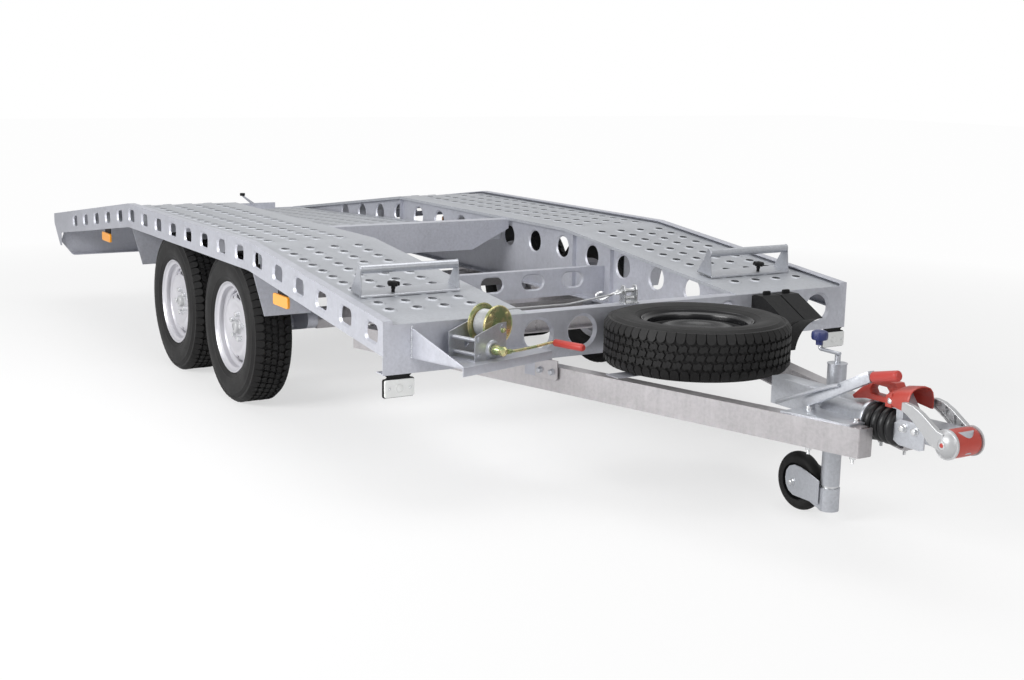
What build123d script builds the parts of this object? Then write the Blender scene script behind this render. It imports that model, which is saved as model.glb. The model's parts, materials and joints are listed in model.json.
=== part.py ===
"""Tandem car hauler trailer with a humped deck, winch, spare wheel and jockey wheel.

Millimetres. +X points forward to the coupling, +Y to the left, +Z up, and the floor is Z = 0.
Places along the deck are given as distances behind the front beam's face, and places along
the drawbar as distances ahead of it. Only the right-hand piece of a pair is drawn, then mirrored.
"""
from build123d import *
import os
from math import atan2, cos, degrees, pi, radians, sin, tan

os.makedirs("parts", exist_ok=True)

# Deck outline
deck_length = 4500
deck_width = 2100
front_height = 607
tail_height = 537
front_knee = 1250
tail_length = 1560
tyre_clearance = 67
sheet = 4
deck_drop = 14

# Side rail and its flared slots
rail_depth = 120
rail_flange = 36
rail_lip = 20
slot_length = 88
slot_height = 58
slot_corner = 19
slot_drop = 59
slot_flare = 8
flare_wall = 3
# first slot after the zone's start, least distance to its end, pitch
front_slots = (91, 60, 211)
middle_slots = (102, 30, 219)
tail_slots = (158, 420, 228)
tail_end_height = 58
tail_lobe_inset = 120
tail_lobe_foot = 28
tail_lobe_drop = 177

# Front beam, rear beam and cross members
beam_bottom = 422
beam_flange = 60
beam_hole_radius = 54
beam_hole_height = 512
beam_hole_flare = 11
beam_outer_hole_inset = 153
beam_inner_holes = [-435, 248, 435]
guide_x = 30
guide_y = -21
guide_size = (36, 52, 74)
rear_beam_inset = 120
rear_beam_bottom = 302
rear_beam_corner = (60, 80)
rear_beam_end_gap = 56
rear_beam_flange = 50
tail_lamp_inset = 190
tail_lamp_size = (230, 96, 34)
latch_y = 164
latch_plate = (296, 22)
latch_stem = 8
latch_height = 60
member_depth = 56
member_flange = 36
member_pitch = 455
member_first = 250
member_last = 600
member_clear = 60

# Inner beams and what spans between them
inner_y = 480
inner_setback = 25
inner_flange = 38
runway_fold = 42
inner_hole_radius = 48
inner_hole_flare = 7
inner_hole_first = 325
inner_hole_last = 745
inner_hole_pitch = 243
inner_hole_place = 0.7
stiffener_width = 20
stiffener_ahead = 70
tray_x = 1745
tray_depth = 140
tray_flange = 70
tray_corner = (202, 95)
tray_foot = 30
platform_fall = 63
platform_bar_first = 385
platform_bar_pitch = 570
middle_x = 950
middle_bottom = 465
middle_top = 585
middle_flange = 40
middle_slot = (105, 62)
middle_slot_height = 534
middle_slot_pitch = 203
middle_slot_first = -334
middle_slot_count = 4
middle_slot_flare = 7

# Road wheels
wheel_radius = 326
tyre_width = 185
rim_radius = 178
rim_lip = 18
rim_width = 140
rim_wall = 5
rim_seat = 22
rim_well = 19
disc_radius = 150
disc_shoulder = 137
disc_dome_radius = 122
disc_dome_width = 16
disc_edge = 8
disc_dome = 52
disc_face = 38
hub_plate_radius = 92
hub_radius = 34
cap_height = 20
cap_bevel = 7
window_count = 4
window_radius = 138
window_size = (17, 78)
track_y = 940
front_axle = 1570
axle_spacing = 751
tyre_gap = 0.2
tread_share = 0.68
shoulder = 22
crown_drop = 22
shoulder_drop = 8

# Torsion axles
axle_tube = 86
axle_tube_wall = 6
axle_tube_height = 366
pad_size = (150, 90)
axle_tube_half = 690
arm_length = 150
arm_width = 46
arm_boss = 14
stub_radius = 20
stub_gap = 0.3
drum_radius = 118
drum_width = 58
drum_outer = -6
drum_bevel = 8
backplate = 5
running_gap = 6

# Drawbar
bar_angle = 16
bar_depth = 90
bar_flange = 52
bar_wall = 5
bar_front_x = 1277
bar_front_y = 120
bar_rear_x = 900
cross_width = 50
cross_gap = 6

# Overrun housing and bellows
axis_height = 425
housing_rear_x = 1040
housing_front_x = 1222
housing_width = 108
housing_height = 96
housing_plate = 6
plate_front_x = 1240
plate_rear_x = 1010
plate_inset = 6
tail_bracket_x = 787
tail_bracket_top = 479
tail_bracket_width = 62
bellows_length = 113
bellows_radius = 59
bellows_folds = 4
bellows_groove = 12

# Coupling
ball_x = 1546
ball_height = 431
ball_radius = 25.2
socket_wall = 11
socket_roof = 12
pad_radius = 44
pad_inner_y = 48
pad_rim = 6
pad_dome = 24
dock_radius = 41
dock_wall = 5
head_half = 40
head_skirt = 22
head_round = 8
pivot_x = 1319
pivot_height = 512
pin_radius = 6
lug_half = 34
lug_width = 26
# ahead of the front beam, height
arm_points = [(1398, 508), (1456, 489), (1523, 464)]
arm_radius = 11
hood_half = 50
hood_wall = 5
hood_outline = [(1306, 526), (1368, 548), (1412, 538), (1440, 522), (1434, 504), (1376, 490), (1304, 490)]
grip_half = 18
loop_round = 3
loop_outline = [(1138, 486), (1168, 512), (1211, 546), (1258, 556), (1310, 556), (1330, 520), (1306, 492), (1194, 488), (1146, 478)]
loop_hole = [(1206, 520), (1218, 538), (1276, 538), (1288, 526), (1270, 506), (1214, 506)]

# Handbrake lever
lever_y = 85
lever_width = 26
lever_wall = 3
lever_depth = 36
lever_foot = (1020, 448)
lever_rise = (1273, 575)
lever_tip = (1385, 600)
lever_rod = 9
lever_grip_radius = 16.5

# Jockey wheel
jockey_x = 915
jockey_y = 130
jockey_radius = 31
jockey_wall = 3
jockey_top = 527
jockey_bottom = 122
jockey_wheel_radius = 100
jockey_wheel_width = 50
jockey_tyre_depth = 34
jockey_trail = 138
leg_gap = 0.8
leg_travel = 200
leg_foot = 8
leg_overlap = 80
neck_radius = 9.5
neck_height = 25
clamp_wall = 8
clamp_width = 60
jockey_crank_reach = 82
crank_rod = 6
knob_stem = 10
knob_radius = 24
knob_height = 26
fork_height = 78
fork_wall = 4
fork_gap = 5
fork_eye = 20
jockey_axle = 8

# Winch: its axis runs along the right-hand drawbar beam
winch_front = -54
winch_depth = 128
winch_plate = 4
winch_left = 83
winch_right = 68
hub_across = -725
hub_height = 511
gear_centres = 88
drum_angle = 55
drum_flange_radius = 70
drum_core_radius = 44
drum_front_gap = 24
drum_width_inside = 76
drum_flange = 3
shaft_radius = 9
shaft_gap = 0.4
pinion_radius = 17
winch_shoulder = (54, 14)
tie_rod = 7
rope_radius = 3
rope_bend = (-12, -302, 612)
rope_arc = 100
crank_arm = 247
crank_ahead = 64
crank_thickness = 6
grip_length = 128
grip_radius = 13
tray_height = 478
tray_front = -10
tray_right_edge = -907
tray_lip = 30
gusset_rise = 107

# Spare wheel
spare_x = 352
spare_lift = 2
spare_bar_width = 70
spare_nut_radius = 18
spare_dish = 40

# Wheel stops, chocks and lamps
stop_front = 340
stop_length = 300
stop_inner = 550
stop_width = 420
stop_lift = 20
stop_bar_back = 160
stop_plate_foot = 70
stop_tube_radius = 16
stop_tube_lift = 56
guard_clear = 38
guard_width = 245
guard_taper = 42
guard_bottom = 430
chock_width = 90
chock_gap = 6
chock_across = 548
chock_top = 592
chock_height = 228
chock_heel = 50
chock_length = 195
chock_holder = 10
chock_holder_height = 130
lamp_size = (110, 70, 22)
lamp_inset = 60
lamp_height = 372
side_lamp_size = (150, 46, 20)
side_lamp_hang = 20
side_lamp_places = [922, 3390]

# Sizes that follow from those above
half_width = deck_width / 2
rear_knee = deck_length - tail_length
hump_height = 2 * wheel_radius + tyre_clearance + deck_drop + sheet
nose_reach = ball_x + pad_radius
front_x = (deck_length - nose_reach) / 2
rear_beam_x = deck_length - rear_beam_inset
axle_places = (front_axle, front_axle + axle_spacing)
web_y = inner_y + inner_setback


def deck_top(x):
    """Height of the rail's top edge at a distance x behind the front beam."""
    if x <= front_knee:
        return front_height + (hump_height - front_height) * x / front_knee
    if x <= rear_knee:
        return hump_height
    return hump_height - (hump_height - tail_height) * (x - rear_knee) / tail_length


def deck_tilt(x):
    """Angle in degrees of the deck at x, in a rail plane."""
    if x < front_knee:
        return degrees(atan2(hump_height - front_height, front_knee))
    if x < rear_knee:
        return 0
    return -degrees(atan2(hump_height - tail_height, tail_length))


def deck_line(start, end, drop):
    """Points in a rail plane that follow the deck from start to end, drop below its top edge."""
    stations = [start] + [k for k in (front_knee, rear_knee) if start < k < end] + [end]
    return [(x, deck_top(x) - drop) for x in stations]


def band(start, end, top_drop, bottom_drop):
    """Outline in a rail plane of a strip that follows the deck."""
    return deck_line(start, end, top_drop) + deck_line(start, end, bottom_drop)[::-1]


def row(first, last, pitch):
    """Places at a pitch from first, none beyond last."""
    return [first + pitch * i for i in range(int((last - first) / pitch) + 1)]


def rail_plane(y):
    """Upright plane at y: local x is the distance behind the front beam, and it grows towards +Y."""
    return Plane(origin=(front_x, y, 0), x_dir=(-1, 0, 0), z_dir=(0, 1, 0))


def side_plane(y):
    """Upright plane at y: local x is the distance ahead of the front beam, and it grows towards -Y."""
    return Plane(origin=(front_x, y, 0), x_dir=(1, 0, 0), z_dir=(0, -1, 0))


def rear_facing(x):
    """Plane across the trailer at x behind the front beam: local x is to the right, it grows rearward."""
    return Plane(origin=(front_x - x, 0, 0), x_dir=(0, -1, 0), z_dir=(-1, 0, 0))


def press(plane, draw, depth):
    """Press flared openings into the sheet being built: draw(extra) puts their outlines on the plane."""
    with BuildSketch(plane) as outer:
        draw(depth + flare_wall)
    extrude(outer.sketch, amount=depth, taper=45)
    with BuildSketch(plane) as inner:
        draw(depth)
    extrude(inner.sketch, amount=depth, taper=45, mode=Mode.SUBTRACT)


def keep(shape, name):
    shape.label = name
    export_step(shape, f"parts/{name}.step")


def keep_pair(shape, name):
    keep(shape, f"{name}_right")
    keep(mirror(shape, about=Plane.XZ), f"{name}_left")


# Side rails: channels with flared slots, cut back to a lobe at the tail
slots = row(front_slots[0], front_knee - front_slots[1], front_slots[2])
slots += row(front_knee + middle_slots[0], rear_knee - middle_slots[1], middle_slots[2])
slots += row(rear_knee + tail_slots[0], deck_length - tail_slots[1], tail_slots[2])
lobe_rear = deck_length - tail_lobe_inset
lobe_front = lobe_rear - tail_lobe_foot


def rail_slots(extra):
    for x in slots:
        with Locations(Location((x, deck_top(x) - slot_drop), deck_tilt(x))):
            RectangleRounded(slot_length + 2 * extra, slot_height + 2 * extra, slot_corner + extra)


with BuildPart() as side_rail:
    with BuildSketch(rail_plane(-half_width)):
        with BuildLine():
            Polyline(
                *deck_line(sheet, deck_length, 0),
                (deck_length, tail_height - tail_end_height),
                (lobe_rear, tail_height - tail_lobe_drop),
                (lobe_front, tail_height - tail_lobe_drop),
                *deck_line(sheet, lobe_front, rail_depth)[::-1],
                close=True,
            )
        make_face()
    extrude(amount=sheet)
    with BuildSketch(rail_plane(-half_width)):
        with BuildLine():
            Polyline(*band(sheet, deck_length, 0, sheet), close=True)
        make_face()
    extrude(amount=rail_flange)
    with BuildSketch(rail_plane(-half_width)):
        with BuildLine():
            Polyline(*band(sheet, lobe_front, rail_depth - sheet, rail_depth), close=True)
        make_face()
    extrude(amount=rail_lip)
    press(rail_plane(-half_width), rail_slots, slot_flare)
keep_pair(side_rail.part, "side_rail")

# Front beam: a channel that opens to the rear, with the winch rope's guide block on top
beam_top = front_height - deck_drop
end_cap = rail_flange


def beam_holes(extra):
    with Locations([(y, beam_hole_height) for y in [beam_outer_hole_inset - half_width] + beam_inner_holes]):
        Circle(beam_hole_radius + extra)


with BuildPart() as front_beam:
    with BuildSketch(rear_facing(0)):
        with Locations((0, beam_bottom)):
            Rectangle(deck_width, front_height - beam_bottom, align=(Align.CENTER, Align.MIN))
        with Locations((0, beam_top)):
            Rectangle(deck_width - 2 * end_cap, deck_drop, align=(Align.CENTER, Align.MIN), mode=Mode.SUBTRACT)
    extrude(amount=sheet)
    with BuildSketch(Plane.XY.offset(beam_bottom)):
        with Locations((front_x, 0)):
            Rectangle(beam_flange, deck_width - 2 * sheet, align=(Align.MAX, Align.CENTER))
    extrude(amount=sheet)
    with BuildSketch(Plane.XY.offset(beam_top - sheet)):
        with Locations((front_x, 0)):
            Rectangle(beam_flange, 2 * inner_y, align=(Align.MAX, Align.CENTER))
    extrude(amount=sheet)
    press(rear_facing(0), beam_holes, beam_hole_flare)
    with BuildSketch(Plane.XY.offset(beam_top)):
        with Locations((front_x - guide_x, guide_y)):
            Rectangle(guide_size[0], guide_size[1])
    extrude(amount=guide_size[2])
keep(front_beam.part, "front_beam")

# Runway sheets, folded down along the middle of the trailer and at the tail
runway_width = half_width - sheet - inner_y
with BuildPart() as runway:
    with BuildSketch(rail_plane(sheet - half_width)):
        with BuildLine():
            Polyline(*band(sheet, deck_length - sheet, deck_drop, deck_drop + sheet), close=True)
        make_face()
    extrude(amount=runway_width)
    with BuildSketch(rail_plane(-inner_y - sheet)):
        with BuildLine():
            Polyline(*band(beam_flange, rear_beam_x, deck_drop, deck_drop + runway_fold), close=True)
        make_face()
    extrude(amount=sheet)
    with BuildSketch(rail_plane(sheet - half_width)):
        with BuildLine():
            Polyline(*band(deck_length - 2 * sheet, deck_length - sheet, deck_drop, deck_drop + runway_fold), close=True)
        make_face()
    extrude(amount=runway_width)
keep_pair(runway.part, "runway")

# Inner beams: webs set back behind the runways' folded edges, with flared holes and stiffeners
web_drop = deck_drop + sheet
web_end = rear_beam_x - rear_beam_flange


def web_holes(extra):
    for x in row(inner_hole_first, deck_length - inner_hole_last, inner_hole_pitch):
        with Locations((-x, beam_bottom + inner_hole_place * (deck_top(x) - web_drop - beam_bottom))):
            Circle(inner_hole_radius + extra)


with BuildPart() as inner_beam:
    with BuildSketch(rail_plane(-web_y - sheet)):
        with BuildLine():
            Polyline(
                *deck_line(beam_flange, web_end, web_drop),
                (web_end, beam_bottom),
                (beam_flange, beam_bottom),
                close=True,
            )
        make_face()
    extrude(amount=sheet)
    with BuildSketch(Plane.XY.offset(beam_bottom)):
        with Locations((front_x - beam_flange, -web_y - sheet)):
            Rectangle(web_end - beam_flange, inner_flange, align=(Align.MAX, Align.MIN))
    extrude(amount=sheet)
    press(side_plane(-web_y), web_holes, inner_hole_flare)
    for x in (middle_x - stiffener_ahead, front_knee - stiffener_ahead, rear_knee):
        with BuildSketch(rear_facing(x)):
            with Locations((web_y, beam_bottom)):
                Rectangle(stiffener_width, deck_top(x) - web_drop - beam_bottom - sheet, align=(Align.MAX, Align.MIN))
        extrude(amount=sheet)
keep_pair(inner_beam.part, "inner_beam")

# Angle members under each runway, none of them above a tyre
tyre_keepout = wheel_radius + member_clear
member_places = row(member_first, axle_places[0] - tyre_keepout, member_pitch)
member_places += [(axle_places[0] + axle_places[1]) / 2]
member_places += row(axle_places[1] + tyre_keepout, deck_length - member_last, member_pitch)
member_outer = half_width - sheet - slot_flare
member_length = member_outer - web_y - sheet
with BuildPart() as runway_member:
    for x in member_places:
        with BuildSketch(rail_plane(-member_outer)):
            with BuildLine():
                Polyline(
                    (x, deck_top(x) - web_drop),
                    (x + member_flange, deck_top(x + member_flange) - web_drop),
                    (x + member_flange, deck_top(x + member_flange) - web_drop - sheet),
                    (x + sheet, deck_top(x + sheet) - web_drop - sheet),
                    (x + sheet, deck_top(x) - web_drop - member_depth),
                    (x, deck_top(x) - web_drop - member_depth),
                    close=True,
                )
            make_face()
        extrude(amount=member_length)
keep_pair(runway_member.part, "runway_members")

# Deep cross tray in front of the centre platform
tray_top = hump_height - deck_drop - 2 * sheet
with BuildPart() as cross_tray:
    with BuildSketch(rear_facing(tray_x)):
        with BuildLine():
            Polyline(
                (-inner_y, tray_top),
                (inner_y, tray_top),
                (inner_y, tray_top - tray_depth + tray_corner[1]),
                (inner_y - tray_corner[0], tray_top - tray_depth),
                (tray_corner[0] - inner_y, tray_top - tray_depth),
                (-inner_y, tray_top - tray_depth + tray_corner[1]),
                close=True,
            )
        make_face()
    extrude(amount=sheet)
    with BuildSketch(Plane.XY.offset(tray_top - sheet)):
        with Locations((front_x - tray_x, 0)):
            Rectangle(tray_flange, 2 * inner_y, align=(Align.MAX, Align.CENTER))
    extrude(amount=sheet)
    with BuildSketch(Plane.XY.offset(tray_top - tray_depth)):
        with Locations((front_x - tray_x, 0)):
            Rectangle(tray_foot, 2 * (inner_y - tray_corner[0]), align=(Align.MAX, Align.CENTER))
    extrude(amount=sheet)
keep(cross_tray.part, "cross_tray")

# Centre platform between the runways, falling straight to the tail, with bars to the inner beams
platform_start = tray_x + tray_flange
platform_front = tray_top - platform_fall
platform_rear = deck_top(rear_beam_x) - web_drop - sheet
platform_slope = (platform_front - platform_rear) / (rear_beam_x - platform_start)
with BuildPart() as platform:
    with BuildSketch(rail_plane(-inner_y)):
        with BuildLine():
            Polyline(
                (platform_start, platform_front),
                (rear_beam_x, platform_rear),
                (rear_beam_x, platform_rear - sheet),
                (platform_start + sheet, platform_front - sheet),
                (platform_start + sheet, platform_front - runway_fold),
                (platform_start, platform_front - runway_fold),
                close=True,
            )
        make_face()
    extrude(amount=2 * inner_y)
    for x in row(platform_start + platform_bar_first, deck_length - member_last, platform_bar_pitch):
        top = platform_front - platform_slope * (x + member_flange - platform_start) - sheet
        with BuildSketch(rear_facing(x)):
            with Locations((0, top)):
                Rectangle(2 * web_y, member_flange, align=(Align.CENTER, Align.MAX))
        extrude(amount=member_flange)
keep(platform.part, "centre_platform")

# Middle cross member with flared oblong holes
middle_holes = [middle_slot_first + middle_slot_pitch * i for i in range(middle_slot_count)]


def member_slots(extra):
    with Locations([(y, middle_slot_height) for y in middle_holes]):
        SlotOverall(middle_slot[0] + 2 * extra, middle_slot[1] + 2 * extra)


with BuildPart() as middle_member:
    with BuildSketch(rear_facing(middle_x)):
        with Locations((0, middle_bottom)):
            Rectangle(2 * web_y, middle_top - middle_bottom, align=(Align.CENTER, Align.MIN))
    extrude(amount=sheet)
    for z in (middle_bottom, middle_top - sheet):
        with BuildSketch(Plane.XY.offset(z)):
            with Locations((front_x - middle_x, 0)):
                Rectangle(middle_flange, 2 * inner_y, align=(Align.MAX, Align.CENTER))
        extrude(amount=sheet)
    press(rear_facing(middle_x), member_slots, middle_slot_flare)
keep(middle_member.part, "middle_cross_member")

# Rear beam with cut corners and lamp openings, and the tail latch on it
rear_beam_top = deck_top(rear_beam_x + sheet) - web_drop
rear_beam_half = half_width - rear_beam_end_gap
with BuildPart() as rear_beam:
    with BuildSketch(rear_facing(rear_beam_x)):
        with BuildLine():
            Polyline(
                (-rear_beam_half, rear_beam_top),
                (rear_beam_half, rear_beam_top),
                (rear_beam_half, rear_beam_bottom + rear_beam_corner[1]),
                (rear_beam_half - rear_beam_corner[0], rear_beam_bottom),
                (rear_beam_corner[0] - rear_beam_half, rear_beam_bottom),
                (-rear_beam_half, rear_beam_bottom + rear_beam_corner[1]),
                close=True,
            )
        make_face()
    extrude(amount=sheet)
    with BuildSketch(Plane.XY.offset(rear_beam_bottom)):
        with Locations((front_x - rear_beam_x, 0)):
            Rectangle(rear_beam_flange, 2 * (rear_beam_half - rear_beam_corner[0]), align=(Align.MIN, Align.CENTER))
    extrude(amount=sheet)
    with BuildSketch(rear_facing(rear_beam_x - rear_beam_flange)):
        with Locations((-web_y - sheet, rear_beam_top), (web_y, rear_beam_top)):
            Rectangle(sheet, rear_beam_top - rear_beam_bottom, align=(Align.MIN, Align.MAX))
    extrude(amount=rear_beam_flange)
    with BuildSketch(rear_facing(rear_beam_x)):
        with Locations((-latch_y, rear_beam_top + latch_plate[1] / 2)):
            Rectangle(latch_plate[0], 2 * latch_plate[1])
    extrude(amount=sheet)
    with BuildSketch(Plane.XY.offset(rear_beam_top + latch_plate[1])):
        with Locations((front_x - rear_beam_x - sheet / 2, latch_y)):
            Circle(latch_stem)
    extrude(amount=latch_height)
    with BuildSketch(Plane.XY.offset(rear_beam_top + latch_plate[1] + latch_height)):
        with Locations((front_x - rear_beam_x - sheet / 2, latch_y)):
            Circle(2 * latch_stem)
    extrude(amount=2 * latch_stem)
keep(rear_beam.part, "rear_beam")

with BuildPart() as tail_lamps:
    for side in (-1, 1):
        with BuildSketch(rear_facing(rear_beam_x + sheet)):
            with Locations((side * (rear_beam_half - tail_lamp_inset), (rear_beam_top + rear_beam_bottom) / 2)):
                RectangleRounded(tail_lamp_size[0], tail_lamp_size[1], tail_lamp_size[1] / 5)
        extrude(amount=tail_lamp_size[2])
keep(tail_lamps.part, "tail_lamps")


# Road wheels: r is measured from the axle and a outward from the middle of the tyre
def tyre_section(plane, radius, seat, lip, width, rim):
    """Draw a tyre's section: flat crown, round shoulders, widest halfway, open over the rim's well."""
    crown = width * tread_share / 2
    bulge = (radius + seat) / 2 + tyre_gap
    with BuildSketch(plane) as section:
        with BuildLine():
            Line((seat, -rim), (lip, -rim))
            ThreePointArc((lip, -rim), (bulge, -width / 2), (radius - crown_drop, -crown - shoulder / 2))
            ThreePointArc(
                (radius - crown_drop, -crown - shoulder / 2),
                (radius - shoulder_drop, -crown - shoulder / 6),
                (radius - shoulder_drop / 2, -crown),
            )
            ThreePointArc((radius - shoulder_drop / 2, -crown), (radius, 0), (radius - shoulder_drop / 2, crown))
            ThreePointArc(
                (radius - shoulder_drop / 2, crown),
                (radius - shoulder_drop, crown + shoulder / 6),
                (radius - crown_drop, crown + shoulder / 2),
            )
            ThreePointArc((radius - crown_drop, crown + shoulder / 2), (bulge, width / 2), (lip, rim))
            Line((lip, rim), (seat, rim))
            Line((seat, rim), (seat, -rim))
        make_face()
    return section.sketch


rim_half = rim_width / 2
rim_edge = rim_radius + rim_lip


def rim_section(plane, dish):
    """Draw a pressed wheel's section: the rolled rim, and a disc whose dish bulges outward."""
    well = rim_radius - rim_well
    with BuildSketch(plane) as section:
        with BuildLine():
            Polyline(
                (rim_edge, -rim_half),
                (rim_radius, -rim_half + rim_wall),
                (rim_radius, -rim_half + rim_seat),
                (well, -rim_half + rim_seat + rim_well),
                (well, rim_half - rim_seat - rim_well),
                (rim_radius, rim_half - rim_seat),
                (rim_radius, rim_half - rim_wall),
                (rim_edge, rim_half),
                (rim_edge, rim_half + rim_wall),
                (rim_radius - rim_wall, rim_half + rim_wall),
                (rim_radius - rim_wall, rim_half - rim_seat),
                (well - rim_wall, rim_half - rim_seat - rim_well),
                (well - rim_wall, -rim_half + rim_seat + rim_well),
                (rim_radius - rim_wall, -rim_half + rim_seat),
                (rim_radius - rim_wall, -rim_half - rim_wall),
                (rim_edge, -rim_half - rim_wall),
                close=True,
            )
        make_face()
        with BuildLine():
            outer = [(well - rim_wall + 1, dish[0])] + [(r, a) for r, a in disc_points(dish)]
            inner = [(r, a - rim_wall) for r, a in outer]
            Polyline(*outer, *inner[::-1], close=True)
        make_face()
    return section.sketch


def disc_points(dish):
    """Radius and height of the disc's outer face: edge, shoulder, dome, hub plate."""
    edge, dome, plate = dish
    return [
        (disc_radius, edge),
        (disc_shoulder, (edge + dome) / 2),
        (disc_dome_radius, dome),
        (disc_dome_radius - disc_dome_width, dome - 1),
        (hub_plate_radius, plate),
        (hub_radius, plate),
    ]


def disc_windows(extra):
    """Outlines of the four windows round the disc's shoulder."""
    for i in range(window_count):
        with Locations(Rot(0, 0, 360 / window_count * (i + 0.5))):
            with Locations((window_radius, 0)):
                RectangleRounded(window_size[0], window_size[1], window_size[0] / 2.3)


def wheel_solids(x, z, y, side):
    """Tyre and rim of one road wheel, its outer face towards side * Y."""
    centre = Plane(origin=(front_x - x, side * y, z), x_dir=(1, 0, 0), z_dir=(0, 0, side))
    axis = Axis((front_x - x, 0, z), (0, 1, 0))
    with BuildPart() as tyre:
        add(tyre_section(centre, wheel_radius, rim_radius + tyre_gap, rim_edge + tyre_gap, tyre_width, rim_half - rim_wall))
        revolve(axis=axis)
    with BuildPart() as rim:
        add(rim_section(centre, (disc_edge, disc_dome, disc_face)))
        revolve(axis=axis)
        with BuildSketch(Plane(origin=(front_x - x, side * (y - disc_edge), z), x_dir=(1, 0, 0), z_dir=(0, side, 0))):
            disc_windows(0)
        extrude(amount=rim_width, mode=Mode.SUBTRACT)
        with BuildSketch(centre):
            with BuildLine():
                Polyline(
                    (0, disc_face + cap_height),
                    (hub_radius - cap_bevel, disc_face + cap_height),
                    (hub_radius, disc_face + cap_height - cap_bevel),
                    (hub_radius, disc_face - rim_wall),
                    (drum_radius - drum_bevel, disc_face - rim_wall),
                    (drum_radius - drum_bevel, drum_outer),
                    (drum_radius, drum_outer - drum_bevel),
                    (drum_radius, drum_outer - drum_width),
                    (stub_radius + stub_gap, drum_outer - drum_width),
                    (stub_radius + stub_gap, drum_outer),
                    (0, drum_outer),
                    close=True,
                )
            make_face()
        revolve(axis=axis)
    return tyre.part, rim.part


for end, x in zip(("front", "rear"), axle_places):
    for side, hand in ((-1, "right"), (1, "left")):
        tyre, rim = wheel_solids(x, wheel_radius, track_y, side)
        keep(tyre, f"tyre_{end}_{hand}")
        keep(rim, f"rim_{end}_{hand}")

# Torsion axles: a hexagonal tube with pads that bolt under the inner beams
for end, x in zip(("front", "rear"), axle_places):
    tube_x = front_x - x + arm_length
    with BuildPart() as axle:
        with BuildSketch(Plane.XZ.offset(-axle_tube_half)):
            with Locations((tube_x, axle_tube_height)):
                RegularPolygon(axle_tube / 2, 6, major_radius=False)
                RegularPolygon(axle_tube / 2 - axle_tube_wall, 6, major_radius=False, mode=Mode.SUBTRACT)
        extrude(amount=2 * axle_tube_half)
        for side in (-1, 1):
            with BuildSketch(Plane.XY.offset(axle_tube_height + axle_tube / 2)):
                with Locations((tube_x, side * web_y)):
                    Rectangle(pad_size[0], pad_size[1])
            extrude(amount=beam_bottom - axle_tube_height - axle_tube / 2)
    keep(axle.part, f"axle_{end}")

# Trailing arms with their stub axles and brake backplates
plate_y = track_y + drum_outer - drum_width - running_gap
arm_y = axle_tube_half
with BuildPart() as arms:
    for x in axle_places:
        with BuildSketch(Plane.XZ.offset(arm_y)):
            with Locations((front_x - x + arm_length, axle_tube_height)):
                Circle(axle_tube / 2)
            with Locations((front_x - x, wheel_radius)):
                Circle(stub_radius + arm_boss)
            make_hull()
        extrude(amount=arm_width)
        with BuildSketch(Plane.XZ.offset(arm_y + arm_width)):
            with Locations((front_x - x, wheel_radius)):
                Circle(stub_radius + arm_boss)
        extrude(amount=plate_y - arm_y - arm_width)
        with BuildSketch(Plane.XZ.offset(plate_y - backplate)):
            with Locations((front_x - x, wheel_radius)):
                Circle(drum_radius)
        extrude(amount=backplate)
        with BuildSketch(Plane.XZ.offset(plate_y)):
            with Locations((front_x - x, wheel_radius)):
                Circle(stub_radius)
        extrude(amount=running_gap + drum_width - stub_gap)
    mirror(about=Plane.XZ)
keep(arms.part, "trailing_arms")

# Drawbar beams: channels that open to the middle, and the channel across their rear ends
slope = tan(radians(bar_angle))
bar_dir = (cos(radians(bar_angle)), sin(radians(bar_angle)))
bar_length = (bar_front_x + bar_rear_x) / bar_dir[0]


def bar_edge(x):
    """Half width over the drawbar beams at x ahead of the front beam."""
    return bar_front_y + (bar_front_x - x) * slope


bar_plane = Plane(
    origin=(front_x + bar_front_x, -bar_front_y, beam_bottom),
    x_dir=(bar_dir[1], -bar_dir[0], 0),
    z_dir=(-bar_dir[0], -bar_dir[1], 0),
)
with BuildPart() as drawbar:
    with BuildSketch(bar_plane):
        Rectangle(bar_wall, bar_depth, align=(Align.MAX, Align.MAX))
        Rectangle(bar_flange, bar_wall, align=(Align.MAX, Align.MAX))
        with Locations((0, -bar_depth)):
            Rectangle(bar_flange, bar_wall, align=(Align.MAX, Align.MIN))
    extrude(amount=bar_length)
keep_pair(drawbar.part, "drawbar")

cross_half = bar_edge(cross_width - bar_rear_x) - bar_flange / bar_dir[0] - cross_gap
with BuildPart() as drawbar_cross:
    with BuildSketch(Plane.XZ.offset(-cross_half)):
        with Locations((front_x - bar_rear_x, beam_bottom)):
            Rectangle(cross_width, bar_depth, align=(Align.MIN, Align.MAX))
            with Locations((cross_width, -bar_wall)):
                Rectangle(
                    cross_width - bar_wall,
                    bar_depth - 2 * bar_wall,
                    align=(Align.MAX, Align.MAX),
                    mode=Mode.SUBTRACT,
                )
    extrude(amount=2 * cross_half)
    for side in (-1, 1):
        with BuildSketch(Plane.XY.offset(beam_bottom - bar_depth - bar_wall)):
            with Locations((front_x - bar_rear_x, side * cross_half)):
                Rectangle(cross_width, 4 * cross_gap + bar_flange, align=(Align.MIN, Align.CENTER))
        extrude(amount=bar_wall)
keep(drawbar_cross.part, "drawbar_cross")

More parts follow.
